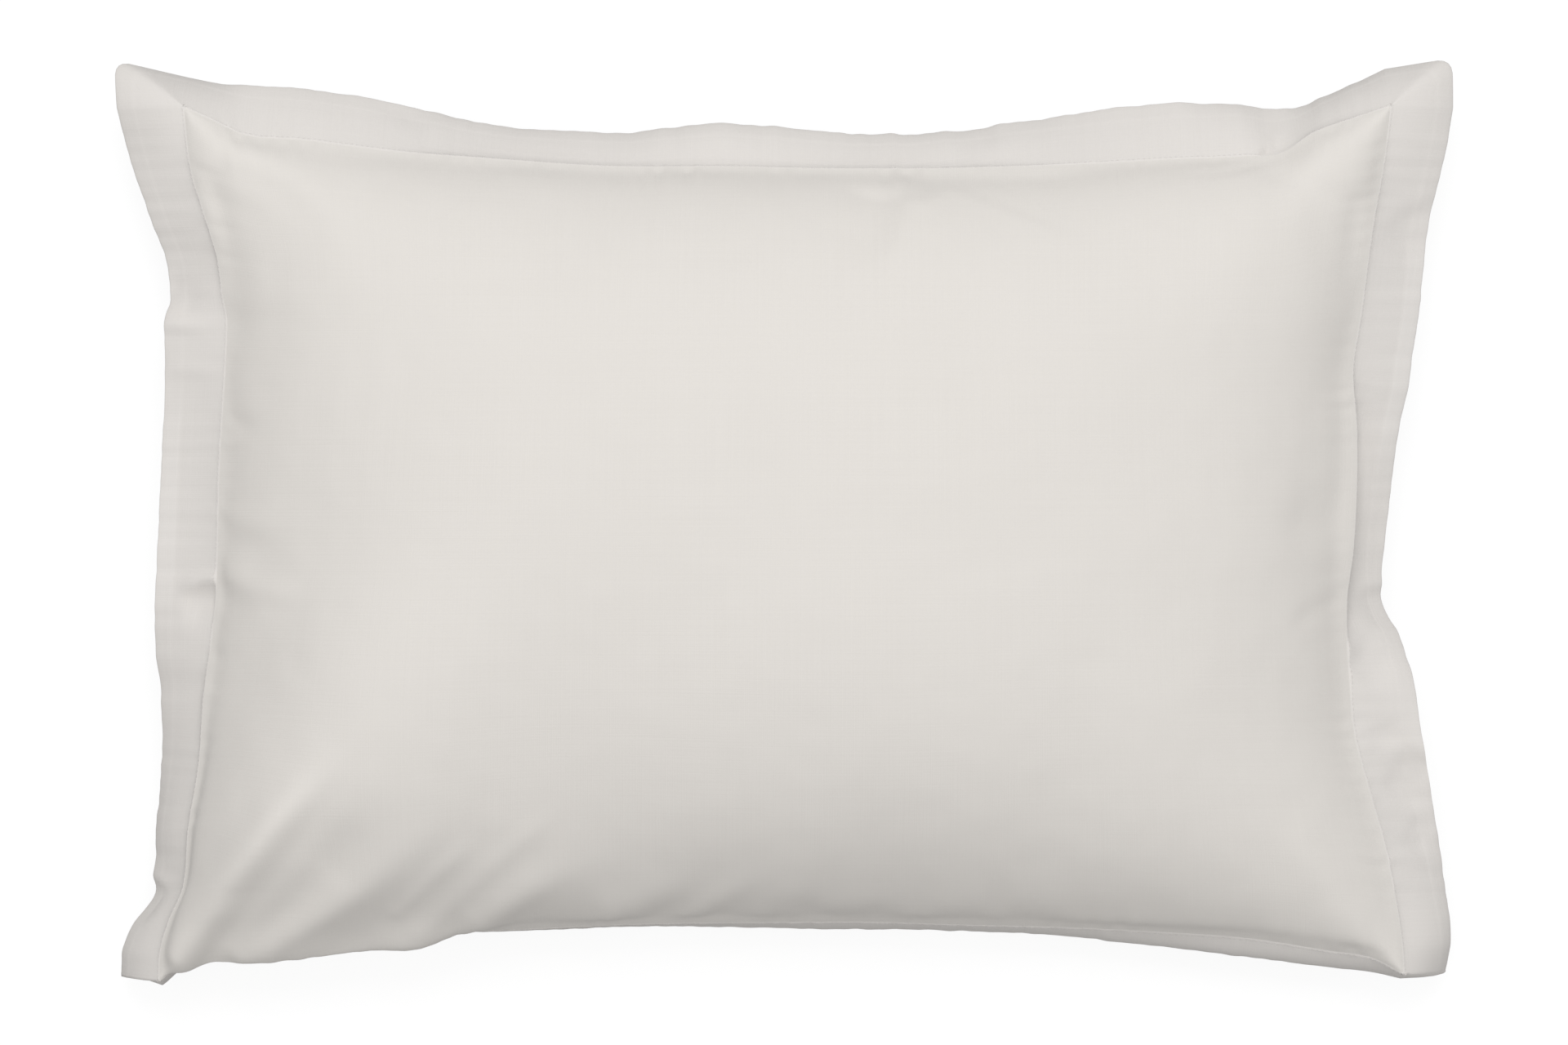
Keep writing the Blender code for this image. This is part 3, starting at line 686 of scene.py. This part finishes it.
@dataclass
class FlatBorder:
    """The double cloth outside the stitch line, with the turned-in allowance along its edge."""

    shape: CaseShape
    long_steps: int = 332
    short_steps: int = 232
    corner_steps: int = 12
    crowding: float = 0.35
    tuck: float = 1.2
    cloth: float = 0.7
    at_stitches: float = 0.45
    at_hem: float = 1.05
    hang_bend: float = 0.06
    corner_ease: float = 12.0
    corner_zone: float = 48.0
    hem_width: float = 11.0
    hem_blur: float = 0.02
    seam_width: float = 1.8
    gather_start: float = 0.08
    gather_reach: float = 9.0
    edge_ripple: float = 0.3
    cloth_ripple: float = 0.16
    thin_until: float = 0.14
    round_from: float = 0.97
    across: tuple[float, ...] = (-0.03, 0.0, 0.03, 0.07, 0.14, 0.24, 0.36, 0.48, 0.60, 0.68,
                                 0.70, 0.725, 0.75, 0.80, 0.90, 0.97, 0.993, 1.0)

    def steps(self, side: str) -> int:
        """Return how many steps a side has."""
        return self.long_steps if side in ("top", "bottom") else self.short_steps

    def section(self, inner: np.ndarray, outward: np.ndarray, reach: float, bow: float,
                hang: float) -> np.ndarray:
        """Return the middle of the cloth across one station.

        Args:
            inner: the point on the stitch line.
            outward: level direction away from the case.
            reach: how far the edge stands out, seen from above.
            bow: how far the middle stands above its chord.
            hang: how far the cloth drops straight from the stitches first.

        Returns:
            One point for each place across.
        """
        w = np.clip(np.array(self.across), 0, 1)
        bend = hang / self.shape.border
        turned = (np.hypot(w - bend, self.hang_bend) + w - bend) / 2
        turned = (turned - turned.min()) / (turned.max() - turned.min())
        fallen = w - turned * (1 - bend)
        rest = self.shape.border - hang
        chord = rest - 8 * bow**2 / (3 * rest)
        drop = math.sqrt(max(chord**2 - reach**2, 1.0))
        side = np.array([*outward, 0.0])
        up = np.array([0.0, 0.0, 1.0])
        run = side * reach - up * drop
        normal = (side * drop + up * reach) / math.hypot(drop, reach)
        return (inner + turned[:, None] * run - (fallen * self.shape.border)[:, None] * up
                + (4 * bow * turned * (1 - turned))[:, None] * normal)

    def side_sections(self, name: str) -> tuple[list[np.ndarray], list[np.ndarray], list[np.ndarray]]:
        """Return a side's sections, their flat places and how far its folds lift them."""
        side, shape = self.shape.sides[name], self.shape
        start, end = shape.corner_point(side.start), shape.corner_point(side.end)
        outward = -np.array(side.inward, dtype=float)
        half, out_half = shape.half_size(name, False), shape.half_size(name, True)
        w = np.array(self.across)
        places, flats, lifts = [], [], []
        for along in crowded(self.steps(name), self.crowding):
            at = np.array([along])
            inner = start * (1 - along) / 2 + end * (1 + along) / 2
            inner[:2] -= outward * shape.column(name, "draw", at)
            inner[2] += side.rise * (1 - along**2)
            reach = float(shape.column(name, "reach", at)[0])
            bow = float(shape.column(name, "bow", at)[0])
            hang = max(float(shape.column(name, "hang", at)[0]), 0.0)
            places.append(self.section(inner, outward, reach, bow, hang))
            s, t = np.full_like(w, along * half), w * shape.border
            lift = fold_height(BORDER_FOLDS[name], s, t)
            fade = np.clip(w / self.gather_start, 0, 1) * np.exp(-t / self.gather_reach)
            lift += shape.gathers(name, s) * fade
            seed = 40 + list(shape.sides).index(name)
            lift += self.edge_ripple * Ripple(seed, 30.0, 90.0, 12).over(s) * np.clip(w, 0, 1) ** 1.5
            lift += self.cloth_ripple * Ripple(seed + 9, 9.0, 24.0).over(s) * np.clip(w, 0, 1) ** 0.5
            lifts.append(lift * (1 - abs(along) ** 14) * (w > 0))
            level = np.outer(out_half + t, outward)
            flats.append(level + along * half * np.abs(outward[::-1]))
        return places, flats, lifts

    def corner_sections(self, name: str, before: np.ndarray, after: np.ndarray) -> list[np.ndarray]:
        """Return the fan of sections round a corner, between two sides' end sections."""
        centre, tip = self.shape.corner_point(name), self.shape.tip_point(name)
        first, last = before[-1], after[-1]
        w = np.clip(np.array(self.across), 0, 1)[:, None]
        bows = [section - (centre * (1 - w) + section[-1] * w) for section in (before, after)]
        to_first, to_last = first - tip, last - tip
        rounded_first = tip + to_first * self.shape.tip_rounding / np.linalg.norm(to_first)
        rounded_last = tip + to_last * self.shape.tip_rounding / np.linalg.norm(to_last)
        straight = self.shape.tip_straight
        sections = []
        for k in range(1, self.corner_steps):
            t = k / self.corner_steps
            if t < straight:
                outer = first + (rounded_first - first) * t / straight
            elif t > 1 - straight:
                outer = last + (rounded_last - last) * (1 - t) / straight
            else:
                s = (t - straight) / (1 - 2 * straight)
                outer = (1 - s) ** 2 * rounded_first + 2 * s * (1 - s) * tip + s**2 * rounded_last
            bow = bows[0] * (1 - t) + bows[1] * t
            sections.append(centre + w * (outer - centre) + bow)
        return sections

    def ring(self) -> tuple[np.ndarray, np.ndarray, np.ndarray]:
        """Return the sections once round, anticlockwise from above, with flat places and lifts."""
        sides = {name: self.side_sections(name) for name in self.shape.sides}
        for name in ("top", "left"):
            sides[name] = tuple(part[::-1] for part in sides[name])
        order = ["right", "top", "left", "bottom"]
        corners = ["top_right", "top_left", "bottom_left", "bottom_right"]
        places, flats, lifts = [], [], []
        for i, name in enumerate(order):
            following = sides[order[(i + 1) % len(order)]]
            for target, part in zip((places, flats, lifts), sides[name]):
                target += part
            fan = self.corner_sections(corners[i], sides[name][0][-1], following[0][0])
            places += fan
            a, b = sides[name][1][-1], following[1][0]
            for k in range(len(fan)):
                t = (k + 1) / (len(fan) + 1)
                spread = 1 + (math.sqrt(2) - 1) * math.sin(t * math.pi)
                mid = a * (1 - t) + b * t
                flats.append(a[1] + (mid - a[1]) * spread)
                lifts.append(np.zeros(len(self.across)))
        return np.array(places), np.array(flats), np.array(lifts)

    def eased(self, ring: np.ndarray) -> np.ndarray:
        """Round off the height where the sides run into the fans of the corners.

        Args:
            ring: the sections, once round.

        Returns:
            The sections with their heights smoothed near the corners and left alone elsewhere.
        """
        outer = ring[:, -1, :2]
        gap = np.linalg.norm(np.roll(outer, -1, axis=0) - outer, axis=1)
        place = np.concatenate([[0.0], np.cumsum(gap)[:-1]])
        total = gap.sum()
        apart = np.abs(place[:, None] - place[None, :])
        apart = np.minimum(apart, total - apart)
        kernel = np.exp(-((apart / self.corner_ease) ** 2)) * ((gap + np.roll(gap, 1)) / 2)[None, :]
        kernel /= kernel.sum(axis=1, keepdims=True)
        tips = [int(np.argmin(np.linalg.norm(outer - self.shape.tip_point(n)[:2], axis=1)))
                for n in self.shape.corners]
        near = np.exp(-((apart[:, tips].min(axis=1) / self.corner_zone) ** 4))
        share = near[:, None] * np.clip(np.array(self.across), 0, 1)[None, :] ** 0.7
        ring = ring.copy()
        ring[..., 2] += share * (kernel @ ring[..., 2] - ring[..., 2])
        return ring

    def surfaces(self) -> tuple[np.ndarray, np.ndarray, np.ndarray, np.ndarray]:
        """Return the upper and lower faces, the normals and the flat places."""
        ring, flats, lifts = self.ring()
        ring = self.eased(ring)
        around = np.roll(ring, -1, axis=0) - np.roll(ring, 1, axis=0)
        edge = around[:, -1] / np.linalg.norm(around[:, -1], axis=1, keepdims=True)
        across = ring[:, 2:] - ring[:, 1:-1]
        across = np.concatenate([across[:, :1], across[:, :1], across], axis=1)
        across /= np.maximum(np.linalg.norm(across, axis=2, keepdims=True), TINY)
        normal = np.cross(across, np.repeat(edge[:, None], ring.shape[1], axis=1))
        normal /= np.maximum(np.linalg.norm(normal, axis=2, keepdims=True), TINY)
        level = across[:, 1].copy()
        level[:, 2] = 0
        level /= np.maximum(np.linalg.norm(level, axis=1, keepdims=True), TINY)
        ring[:, 0] -= level * self.tuck
        w = np.array(self.across)
        hem = 1 - self.hem_width / self.shape.border
        rise = np.clip((w - hem + self.hem_blur) / (2 * self.hem_blur), 0, 1)
        thick = self.at_stitches + (self.cloth - self.at_stitches) * np.clip(w / self.thin_until, 0, 1)
        thick = thick + (self.at_hem - self.cloth) * rise
        thick *= np.sqrt(np.clip(1 - ((w - self.round_from) / 0.034).clip(0, 1) ** 2, 0.08, 1))
        middle = ring + normal * lifts[..., None]
        half = normal * (thick / 2)[None, :, None]
        return middle + half, middle - half, normal, flats

    def build(self) -> bpy.types.Object:
        """Build the piece.

        Returns:
            The border, one closed ring, with its flat cloth map and its edge attribute, which marks the
            allowance and a band of painted light along the stitches.
        """
        upper, lower, _, flats = self.surfaces()
        stations, width = upper.shape[:2]
        points = np.vstack([upper.reshape(-1, 3), lower.reshape(-1, 3)])
        below = stations * width
        faces: list[tuple[int, ...]] = []
        for k in range(stations):
            a, b = k * width, (k + 1) % stations * width
            for j in range(width - 1):
                faces.append((a + j, a + j + 1, b + j + 1, b + j))
                faces.append((below + b + j, below + b + j + 1, below + a + j + 1, below + a + j))
            faces.append((a, b, below + b, below + a))
            faces.append((a + width - 1, below + a + width - 1, below + b + width - 1, b + width - 1))
        flat = np.vstack([flats.reshape(-1, 2)] * 2)
        return add_mesh("flat_border", points, faces, flat, {HEM_AND_LIGHT_MARK: self.hem_and_painted_light_share(flat)})

    def hem_and_painted_light_share(self, flat: np.ndarray) -> np.ndarray:
        """Return how much the allowance at the edge shows through at flat places, plus a band of painted
        light along the stitches.
        """
        share = np.zeros(len(flat))
        start = self.shape.border - self.hem_width
        for name, (middle, half) in HEM_SHOWS.items():
            side = self.shape.sides[name]
            x, y = (flat[:, 0], flat[:, 1]) if side.inward[0] else (flat[:, 1], flat[:, 0])
            beyond = -x * sum(side.inward) - self.shape.half_size(name, True) - start
            share += np.clip(beyond + 0.3, 0, 1) * np.exp(-(((y - middle) / half) ** 4))
        # A narrow band along the stitch line: painted light that lightens the shade of the crease between
        # border and body.
        past = np.max(np.abs(flat) - np.array([self.shape.length, self.shape.width]) / 2, axis=1)
        return share + np.exp(-((past / self.seam_width) ** 2))

    def stitch_path(self, face: Face) -> tuple[np.ndarray, np.ndarray]:
        """Return the points of a row of stitches and the directions away from the cloth."""
        upper, lower, normal, _ = self.surfaces()
        if face is Face.FRONT:
            return upper[:, 2], normal[:, 2]
        return lower[:, 2], -normal[:, 2]


class Value:
    """A node's output socket that takes part in sums, as a number."""

    def __init__(self, shader: "Shader", socket: bpy.types.NodeSocket) -> None:
        """Wrap a socket of a shader."""
        self.shader = shader
        self.socket = socket

    def math(self, operation: str, *others: Any, swap: bool = False) -> "Value":
        """Add a Math node on this value and others."""
        terms = [*others, self] if swap else [self, *others]
        return self.shader.node("ShaderNodeMath", {"operation": operation}, dict(enumerate(terms)))

    def __add__(self, other: Any) -> "Value":
        """Return self + other."""
        return self.math("ADD", other)

    __radd__ = __add__

    def __sub__(self, other: Any) -> "Value":
        """Return self - other."""
        return self.math("SUBTRACT", other)

    def __rsub__(self, other: Any) -> "Value":
        """Return other - self."""
        return self.math("SUBTRACT", other, swap=True)

    def __mul__(self, other: Any) -> "Value":
        """Return self * other."""
        return self.math("MULTIPLY", other)

    __rmul__ = __mul__

    def __pow__(self, other: Any) -> "Value":
        """Return self ** other."""
        return self.math("POWER", other)


class Shader:
    """A material's node tree, built one node at a time."""

    def __init__(self, name: str) -> None:
        """Make an empty material of this name with a Principled surface."""
        self.material = bpy.data.materials.new(name)
        self.material.use_nodes = True
        self.tree = self.material.node_tree
        self.surface = self.tree.nodes["Principled BSDF"]

    def connect(self, socket: bpy.types.NodeSocket, value: Any) -> None:
        """Link a value to a socket, or set it there."""
        if isinstance(value, Value):
            self.tree.links.new(value.socket, socket)
        else:
            socket.default_value = value

    def node(self, kind: str, settings: dict[str, Any] | None = None,
             inputs: dict[Any, Any] | None = None, output: Any = 0) -> Value:
        """Add a node.

        Args:
            kind: its type.
            settings: its own properties, set first.
            inputs: values or links for its sockets, by name or number.
            output: which output is returned.

        Returns:
            The output, ready for sums.
        """
        made = self.tree.nodes.new(kind)
        for name, value in (settings or {}).items():
            setattr(made, name, value)
        for key, value in (inputs or {}).items():
            self.connect(made.inputs[key], value)
        return Value(self, made.outputs[output])

    def finish(self, inputs: dict[str, Any]) -> bpy.types.Material:
        """Set the surface's sockets and return the material."""
        for key, value in inputs.items():
            self.connect(self.surface.inputs[key], value)
        return self.material


@dataclass(frozen=True)
class Percale:
    """Fine plain-weave cotton, matt and off-white.

    Attributes:
        name: name of the material.
        colour: colour of the cloth.
        tone_and_hollow_shade: a deeper colour, mixed in at random specks as tone and, where the bump is
            low, as painted shade in its hollows.
        pitch: distance between threads, in metres.
        roughness: how matt it is.
        hem_and_painted_light: how much lighter the border is where its allowance shows through, and how
            much painted light brightens it along the stitches.
        seam_painted_light: how much painted light brightens the body at the stitches.
        hollow: share of the deeper colour everywhere.
        slub_share: how much the uneven threads change that share.
        speck_share: how much slow and fine unevenness change it.
    """

    name: str
    colour: tuple[float, float, float, float]
    tone_and_hollow_shade: tuple[float, float, float, float]
    pitch: float = 0.00042
    roughness: float = 0.88
    hem_and_painted_light: float = 0.0
    seam_painted_light: float = 0.08
    hollow: float = 0.16
    slub_share: float = 0.13
    speck_share: float = 0.10

    def build(self) -> bpy.types.Material:
        """Build the material.

        Returns:
            The material, which reads the piece's flat cloth map and attributes.
        """
        s = Shader(self.name)
        flat = s.node("ShaderNodeUVMap", {"uv_map": FLAT_MAP})
        split = {"Vector": flat}
        x = s.node("ShaderNodeSeparateXYZ", None, split, "X")
        y = s.node("ShaderNodeSeparateXYZ", None, split, "Y")
        turn = math.pi / self.pitch
        warp = (x * turn).math("SINE")
        weft = (y * turn).math("SINE")
        weave = (warp * weft).math("ABSOLUTE")
        long_threads = self.slubs(s, x, y, 9.0, 1500.0, 3.0)
        cross_threads = self.slubs(s, x, y, 1500.0, 9.0, 8.0)
        slub = long_threads + cross_threads
        cloud = self.noise(s, flat, 14.0, 3.0)
        grain = self.noise(s, flat, 700.0, 2.0)
        specks = (cloud - 0.5) * self.speck_share
        # The specks are random tone. The slubs and grain also raise the bump, so the deeper colour where
        # they are low is painted shade in the weave's hollows.
        shade = specks + (slub - 1.0) * self.slub_share + (grain - 0.5) * self.speck_share
        mix = (self.hollow - shade).math("MAXIMUM", 0.0)
        seam = s.node("ShaderNodeAttribute", {"attribute_name": SEAM_MARK}, None, "Fac")
        # Lighter where the border's allowance shows through, and painted light along its stitches.
        hem = s.node("ShaderNodeAttribute", {"attribute_name": HEM_AND_LIGHT_MARK}, None, "Fac") * self.hem_and_painted_light
        # Painted light: the body is lightened next to its stitches.
        amount = (mix - seam**3.0 * self.seam_painted_light - hem).math("MINIMUM", 1.0)
        colour = s.node("ShaderNodeMix", {"data_type": "RGBA", "clamp_factor": True},
                        {0: amount.math("MAXIMUM", 0.0), 6: self.colour, 7: self.tone_and_hollow_shade}, 2)
        height = weave * 0.35 + slub * 0.9 + grain * 0.35
        bump = s.node("ShaderNodeBump", None, {"Strength": 0.22, "Distance": 0.0004, "Height": height})
        rough = self.roughness + (grain - 0.5) * 0.08
        return s.finish({"Base Color": colour, "Roughness": rough, "Normal": bump,
                         "Sheen Weight": 0.12, "Sheen Roughness": 0.5, "Specular IOR Level": 0.25})

    def noise(self, s: Shader, place: Value, scale: float, detail: float) -> Value:
        """Return unevenness about 0.5 at a place."""
        return s.node("ShaderNodeTexNoise", {"noise_dimensions": "3D"},
                      {"Vector": place, "Scale": scale, "Detail": detail})

    def slubs(self, s: Shader, x: Value, y: Value, scale_x: float, scale_y: float, seed: float) -> Value:
        """Return the uneven thickness of the threads in one direction, about 0.5."""
        place = s.node("ShaderNodeCombineXYZ", None, {"X": x * scale_x, "Y": y * scale_y, "Z": seed})
        return self.noise(s, place, 1.0, 1.0)


@dataclass(frozen=True)
class Thread:
    """Spun sewing thread."""

    name: str
    colour: tuple[float, float, float, float]

    def build(self) -> bpy.types.Material:
        """Build the material, with the thread's twist as a fine stripe of bumps and of painted shade in
        its grooves.
        """
        s = Shader(self.name)
        place = s.node("ShaderNodeTexCoord", None, None, "Object")
        twist = s.node("ShaderNodeTexWave", {"wave_type": "BANDS", "bands_direction": "DIAGONAL"},
                       {"Vector": place, "Scale": 900.0, "Distortion": 1.0})
        rough = 0.62 + twist * 0.2
        # Painted shade: the twist's grooves are given a darker colour.
        painted_groove_shade = tuple(c * 0.86 for c in self.colour[:3]) + (1.0,)
        colour = s.node("ShaderNodeMix", {"data_type": "RGBA"}, {0: twist, 6: painted_groove_shade, 7: self.colour}, 2)
        bump = s.node("ShaderNodeBump", None, {"Strength": 0.3, "Distance": 0.0001, "Height": twist})
        return s.finish({"Base Color": colour, "Roughness": rough, "Normal": bump, "Sheen Weight": 0.1})


@dataclass
class StitchRow:
    """A row of lockstitches along a path, repeated by geometry nodes."""

    pitch: float = 3.0 * MM
    length: float = 2.4 * MM
    radius: float = 0.17 * MM
    sink: float = 0.12 * MM
    rise: float = 0.16 * MM
    scales: tuple[float, float] = (0.90, 1.06)
    seed: int = 4

    def tree(self) -> bpy.types.NodeTree:
        """Build the node tree that sets a stitch on each step of a path.

        Returns:
            The tree, with its sizes, seed and material as named inputs.
        """
        tree = bpy.data.node_groups.new("stitch_row", "GeometryNodeTree")
        face = tree.interface
        face.new_socket("Geometry", in_out="INPUT", socket_type="NodeSocketGeometry")
        for name in ("Pitch", "Length", "Radius", "Sink", "Rise"):
            face.new_socket(name, in_out="INPUT", socket_type="NodeSocketFloat")
        face.new_socket("Seed", in_out="INPUT", socket_type="NodeSocketInt")
        face.new_socket("Material", in_out="INPUT", socket_type="NodeSocketMaterial")
        face.new_socket("Geometry", in_out="OUTPUT", socket_type="NodeSocketGeometry")

        def give(socket: bpy.types.NodeSocket, value: Any) -> None:
            """Set a socket, or link it to another one."""
            if isinstance(value, bpy.types.NodeSocket):
                tree.links.new(value, socket)
            else:
                socket.default_value = value

        def add(kind: str, settings: dict[str, Any] | None = None, **inputs: Any) -> bpy.types.Node:
            """Add a node; an input is a value, or a socket to link from."""
            made = tree.nodes.new(kind)
            for key, value in (settings or {}).items():
                setattr(made, key, value)
            for key, value in inputs.items():
                give(made.inputs[key.replace("_", " ")], value)
            return made

        def figure(operation: str, *terms: Any) -> bpy.types.NodeSocket:
            """Add a Math node on numbers and sockets."""
            made = add("ShaderNodeMath", {"operation": operation})
            for socket, term in zip(made.inputs, terms):
                give(socket, term)
            return made.outputs[0]

        given = tree.nodes.new("NodeGroupInput").outputs
        curve = add("GeometryNodeMeshToCurve", Mesh=given["Geometry"])
        steps = add("GeometryNodeResampleCurve", {"mode": "LENGTH"}, Curve=curve.outputs[0],
                    Length=given["Pitch"])
        half = figure("MULTIPLY", given["Length"], 0.5)
        back = figure("MULTIPLY", half, -1.0)
        low = figure("MULTIPLY", given["Sink"], -1.0)
        high = figure("MULTIPLY_ADD", given["Rise"], 2.0, given["Sink"])
        start = add("ShaderNodeCombineXYZ", X=back, Z=low)
        top = add("ShaderNodeCombineXYZ", Z=high)
        end = add("ShaderNodeCombineXYZ", X=half, Z=low)
        arch = add("GeometryNodeCurveQuadraticBezier", Resolution=4, Start=start.outputs[0],
                   Middle=top.outputs[0], End=end.outputs[0])
        ring = add("GeometryNodeCurvePrimitiveCircle", {"mode": "RADIUS"}, Resolution=5,
                   Radius=given["Radius"])
        thread = add("GeometryNodeCurveToMesh", Curve=arch.outputs[0], Profile_Curve=ring.outputs[0],
                     Fill_Caps=True)
        out = add("GeometryNodeInputNamedAttribute", {"data_type": "FLOAT_VECTOR"}, Name=OUT_MARK)
        tangent = add("GeometryNodeInputTangent")
        along = add("FunctionNodeAlignRotationToVector", {"axis": "X"}, Vector=tangent.outputs[0])
        upright = add("FunctionNodeAlignRotationToVector", {"axis": "Z", "pivot_axis": "X"},
                      Rotation=along.outputs[0], Vector=out.outputs[0])
        chance = add("FunctionNodeRandomValue", {"data_type": "FLOAT"}, Seed=given["Seed"])
        chance.inputs[2].default_value, chance.inputs[3].default_value = self.scales
        placed = add("GeometryNodeInstanceOnPoints", Points=steps.outputs[0], Instance=thread.outputs[0],
                     Rotation=upright.outputs[0], Scale=chance.outputs[1])
        real = add("GeometryNodeRealizeInstances", Geometry=placed.outputs[0])
        dressed = add("GeometryNodeSetMaterial", Geometry=real.outputs[0], Material=given["Material"])
        tree.links.new(dressed.outputs[0], tree.nodes.new("NodeGroupOutput").inputs[0])
        return tree

    def build(self, name: str, tree: bpy.types.NodeTree, points: np.ndarray, out: np.ndarray,
              closed: bool, material: bpy.types.Material) -> bpy.types.Object:
        """Set stitches along a path and turn them into a plain mesh.

        Args:
            name: name of the object.
            tree: the node tree.
            points: the path, in millimetres.
            out: the direction away from the cloth at each point.
            closed: whether the path joins up.
            material: the thread.

        Returns:
            The row of stitches.
        """
        count = len(points)
        edges = [(i, (i + 1) % count) for i in range(count if closed else count - 1)]
        path = bpy.data.meshes.new(name + "_path")
        path.from_pydata((points * MM).tolist(), edges, [])
        path.attributes.new(OUT_MARK, "FLOAT_VECTOR", "POINT").data.foreach_set(
            "vector", out.astype(np.float32).ravel())
        holder = add_object(name + "_path", path)
        modifier = holder.modifiers.new("stitches", "NODES")
        modifier.node_group = tree
        sizes = {"Pitch": self.pitch, "Length": self.length, "Radius": self.radius, "Sink": self.sink,
                 "Rise": self.rise, "Seed": self.seed, "Material": material}
        for item in tree.interface.items_tree:
            if item.in_out == "INPUT" and item.name in sizes:
                modifier[item.identifier] = sizes[item.name]
        bpy.context.view_layer.update()
        evaluated = holder.evaluated_get(bpy.context.evaluated_depsgraph_get())
        mesh = bpy.data.meshes.new_from_object(evaluated)
        mesh.name = name
        holder.modifiers.remove(modifier)
        bpy.data.objects.remove(holder, do_unlink=True)
        if OUT_MARK in mesh.attributes:
            mesh.attributes.remove(mesh.attributes[OUT_MARK])
        mesh.shade_smooth()
        return add_object(name, mesh)


@dataclass
class Studio:
    """A pale floor, soft light from above and a camera straight over the case."""

    distance: float = 3.0
    aim_height: float = 0.05
    pixels_per_metre: float = 2186.0
    image_width: int = 1920
    sensor: float = 36.0
    floor_size: float = 12.0
    floor_drop: float = 0.3 * MM
    sky: float = 0.68
    key_place: tuple[float, float, float] = (0.0, 2.5, 4.33)
    key_size: float = 2.5
    key_energy: float = 97.0
    floor_colour: float = 0.15
    floor_glow: float = 0.88

    def light(self) -> None:
        """Add a square soft light that points at the case."""
        data = bpy.data.lights.new("key_light", "AREA")
        data.shape = "SQUARE"
        data.size = self.key_size
        data.energy = self.key_energy
        lamp = add_object("key_light", data)
        lamp.location = self.key_place
        aim = Vector((0, 0, self.aim_height)) - lamp.location
        lamp.rotation_euler = aim.to_track_quat("-Z", "Y").to_euler()

    def build(self) -> None:
        """Build the floor, the lights, the sky and the camera."""
        half = self.floor_size / 2
        mesh = bpy.data.meshes.new("floor")
        corners = [(x * half, y * half, -self.floor_drop) for x, y in ((-1, -1), (1, -1), (1, 1), (-1, 1))]
        mesh.from_pydata(corners, [], [(0, 1, 2, 3)])
        floor = add_object("floor", mesh)
        paper = Shader("floor_paper")
        mesh.materials.append(paper.finish({
            "Base Color": (*[self.floor_colour] * 3, 1.0), "Roughness": 0.9,
            "Emission Color": WHITE, "Emission Strength": self.floor_glow}))
        lit = bpy.data.collections.new("lit_by_floor")
        lit.objects.link(floor)
        floor.light_linking.receiver_collection = lit
        self.light()
        world = bpy.data.worlds.new("sky")
        world.use_nodes = True
        background = world.node_tree.nodes["Background"]
        background.inputs["Color"].default_value = WHITE
        background.inputs["Strength"].default_value = self.sky
        bpy.context.scene.world = world
        data = bpy.data.cameras.new("camera")
        data.sensor_width = self.sensor
        data.lens = self.sensor * self.distance * self.pixels_per_metre / self.image_width
        camera = add_object("camera", data)
        camera.location = (0.0, 0.0, self.distance + self.aim_height)
        bpy.context.scene.camera = camera
        bpy.context.scene.view_settings.view_transform = "Standard"


def report(obj: bpy.types.Object) -> None:
    """Write a piece's size to the log."""
    mesh = obj.data
    LOG.info("%s: %d points, %d faces", obj.name, len(mesh.vertices), len(mesh.polygons))


def main() -> None:
    """Build the pieces in order, dress them and log each one's size."""
    logging.basicConfig(level=logging.INFO, format="%(name)s: %(message)s")
    shape = CaseShape()
    # The body's deeper colour is partly random tone and partly painted shade in the weave's hollows.
    body_cloth = Percale("percale_body", (0.787, 0.757, 0.718, 1.0), (0.63, 0.59, 0.55, 1.0)).build()
    # The border is lighter where its allowance shows through, and painted light lightens it along the
    # stitches.
    border_cloth = Percale("percale_border", (0.772, 0.742, 0.712, 1.0), (0.60, 0.565, 0.53, 1.0),
                           hem_and_painted_light=0.16).build()
    thread = Thread("sewing_thread", (0.79, 0.76, 0.73, 1.0)).build()

    body = FilledBody(shape).build()
    body.data.materials.append(body_cloth)
    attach(body, "root")
    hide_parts("case_body")
    report(body)

    border_maker = FlatBorder(shape)
    border = border_maker.build()
    border.data.materials.append(border_cloth)
    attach(border, "root")
    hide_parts("case_border")
    report(border)

    row = StitchRow()
    tree = row.tree()
    stitches = [row.build(f"stitches_{face.value}", tree, *border_maker.stitch_path(face), True, thread)
                for face in Face]
    hem_x = shape.lap_x + shape.lap_hem
    hem = np.array([(hem_x, y, shape.lap_row_height) for y in np.linspace(*shape.lap_row)])
    down = np.tile(np.array([0.0, 0.0, -1.0]), (len(hem), 1))
    stitches.append(row.build("stitches_lap", tree, hem, down, False, thread))
    for piece in stitches:
        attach(piece, "root")
        report(piece)

    Studio().build()


if __name__ == "__main__":
    main()
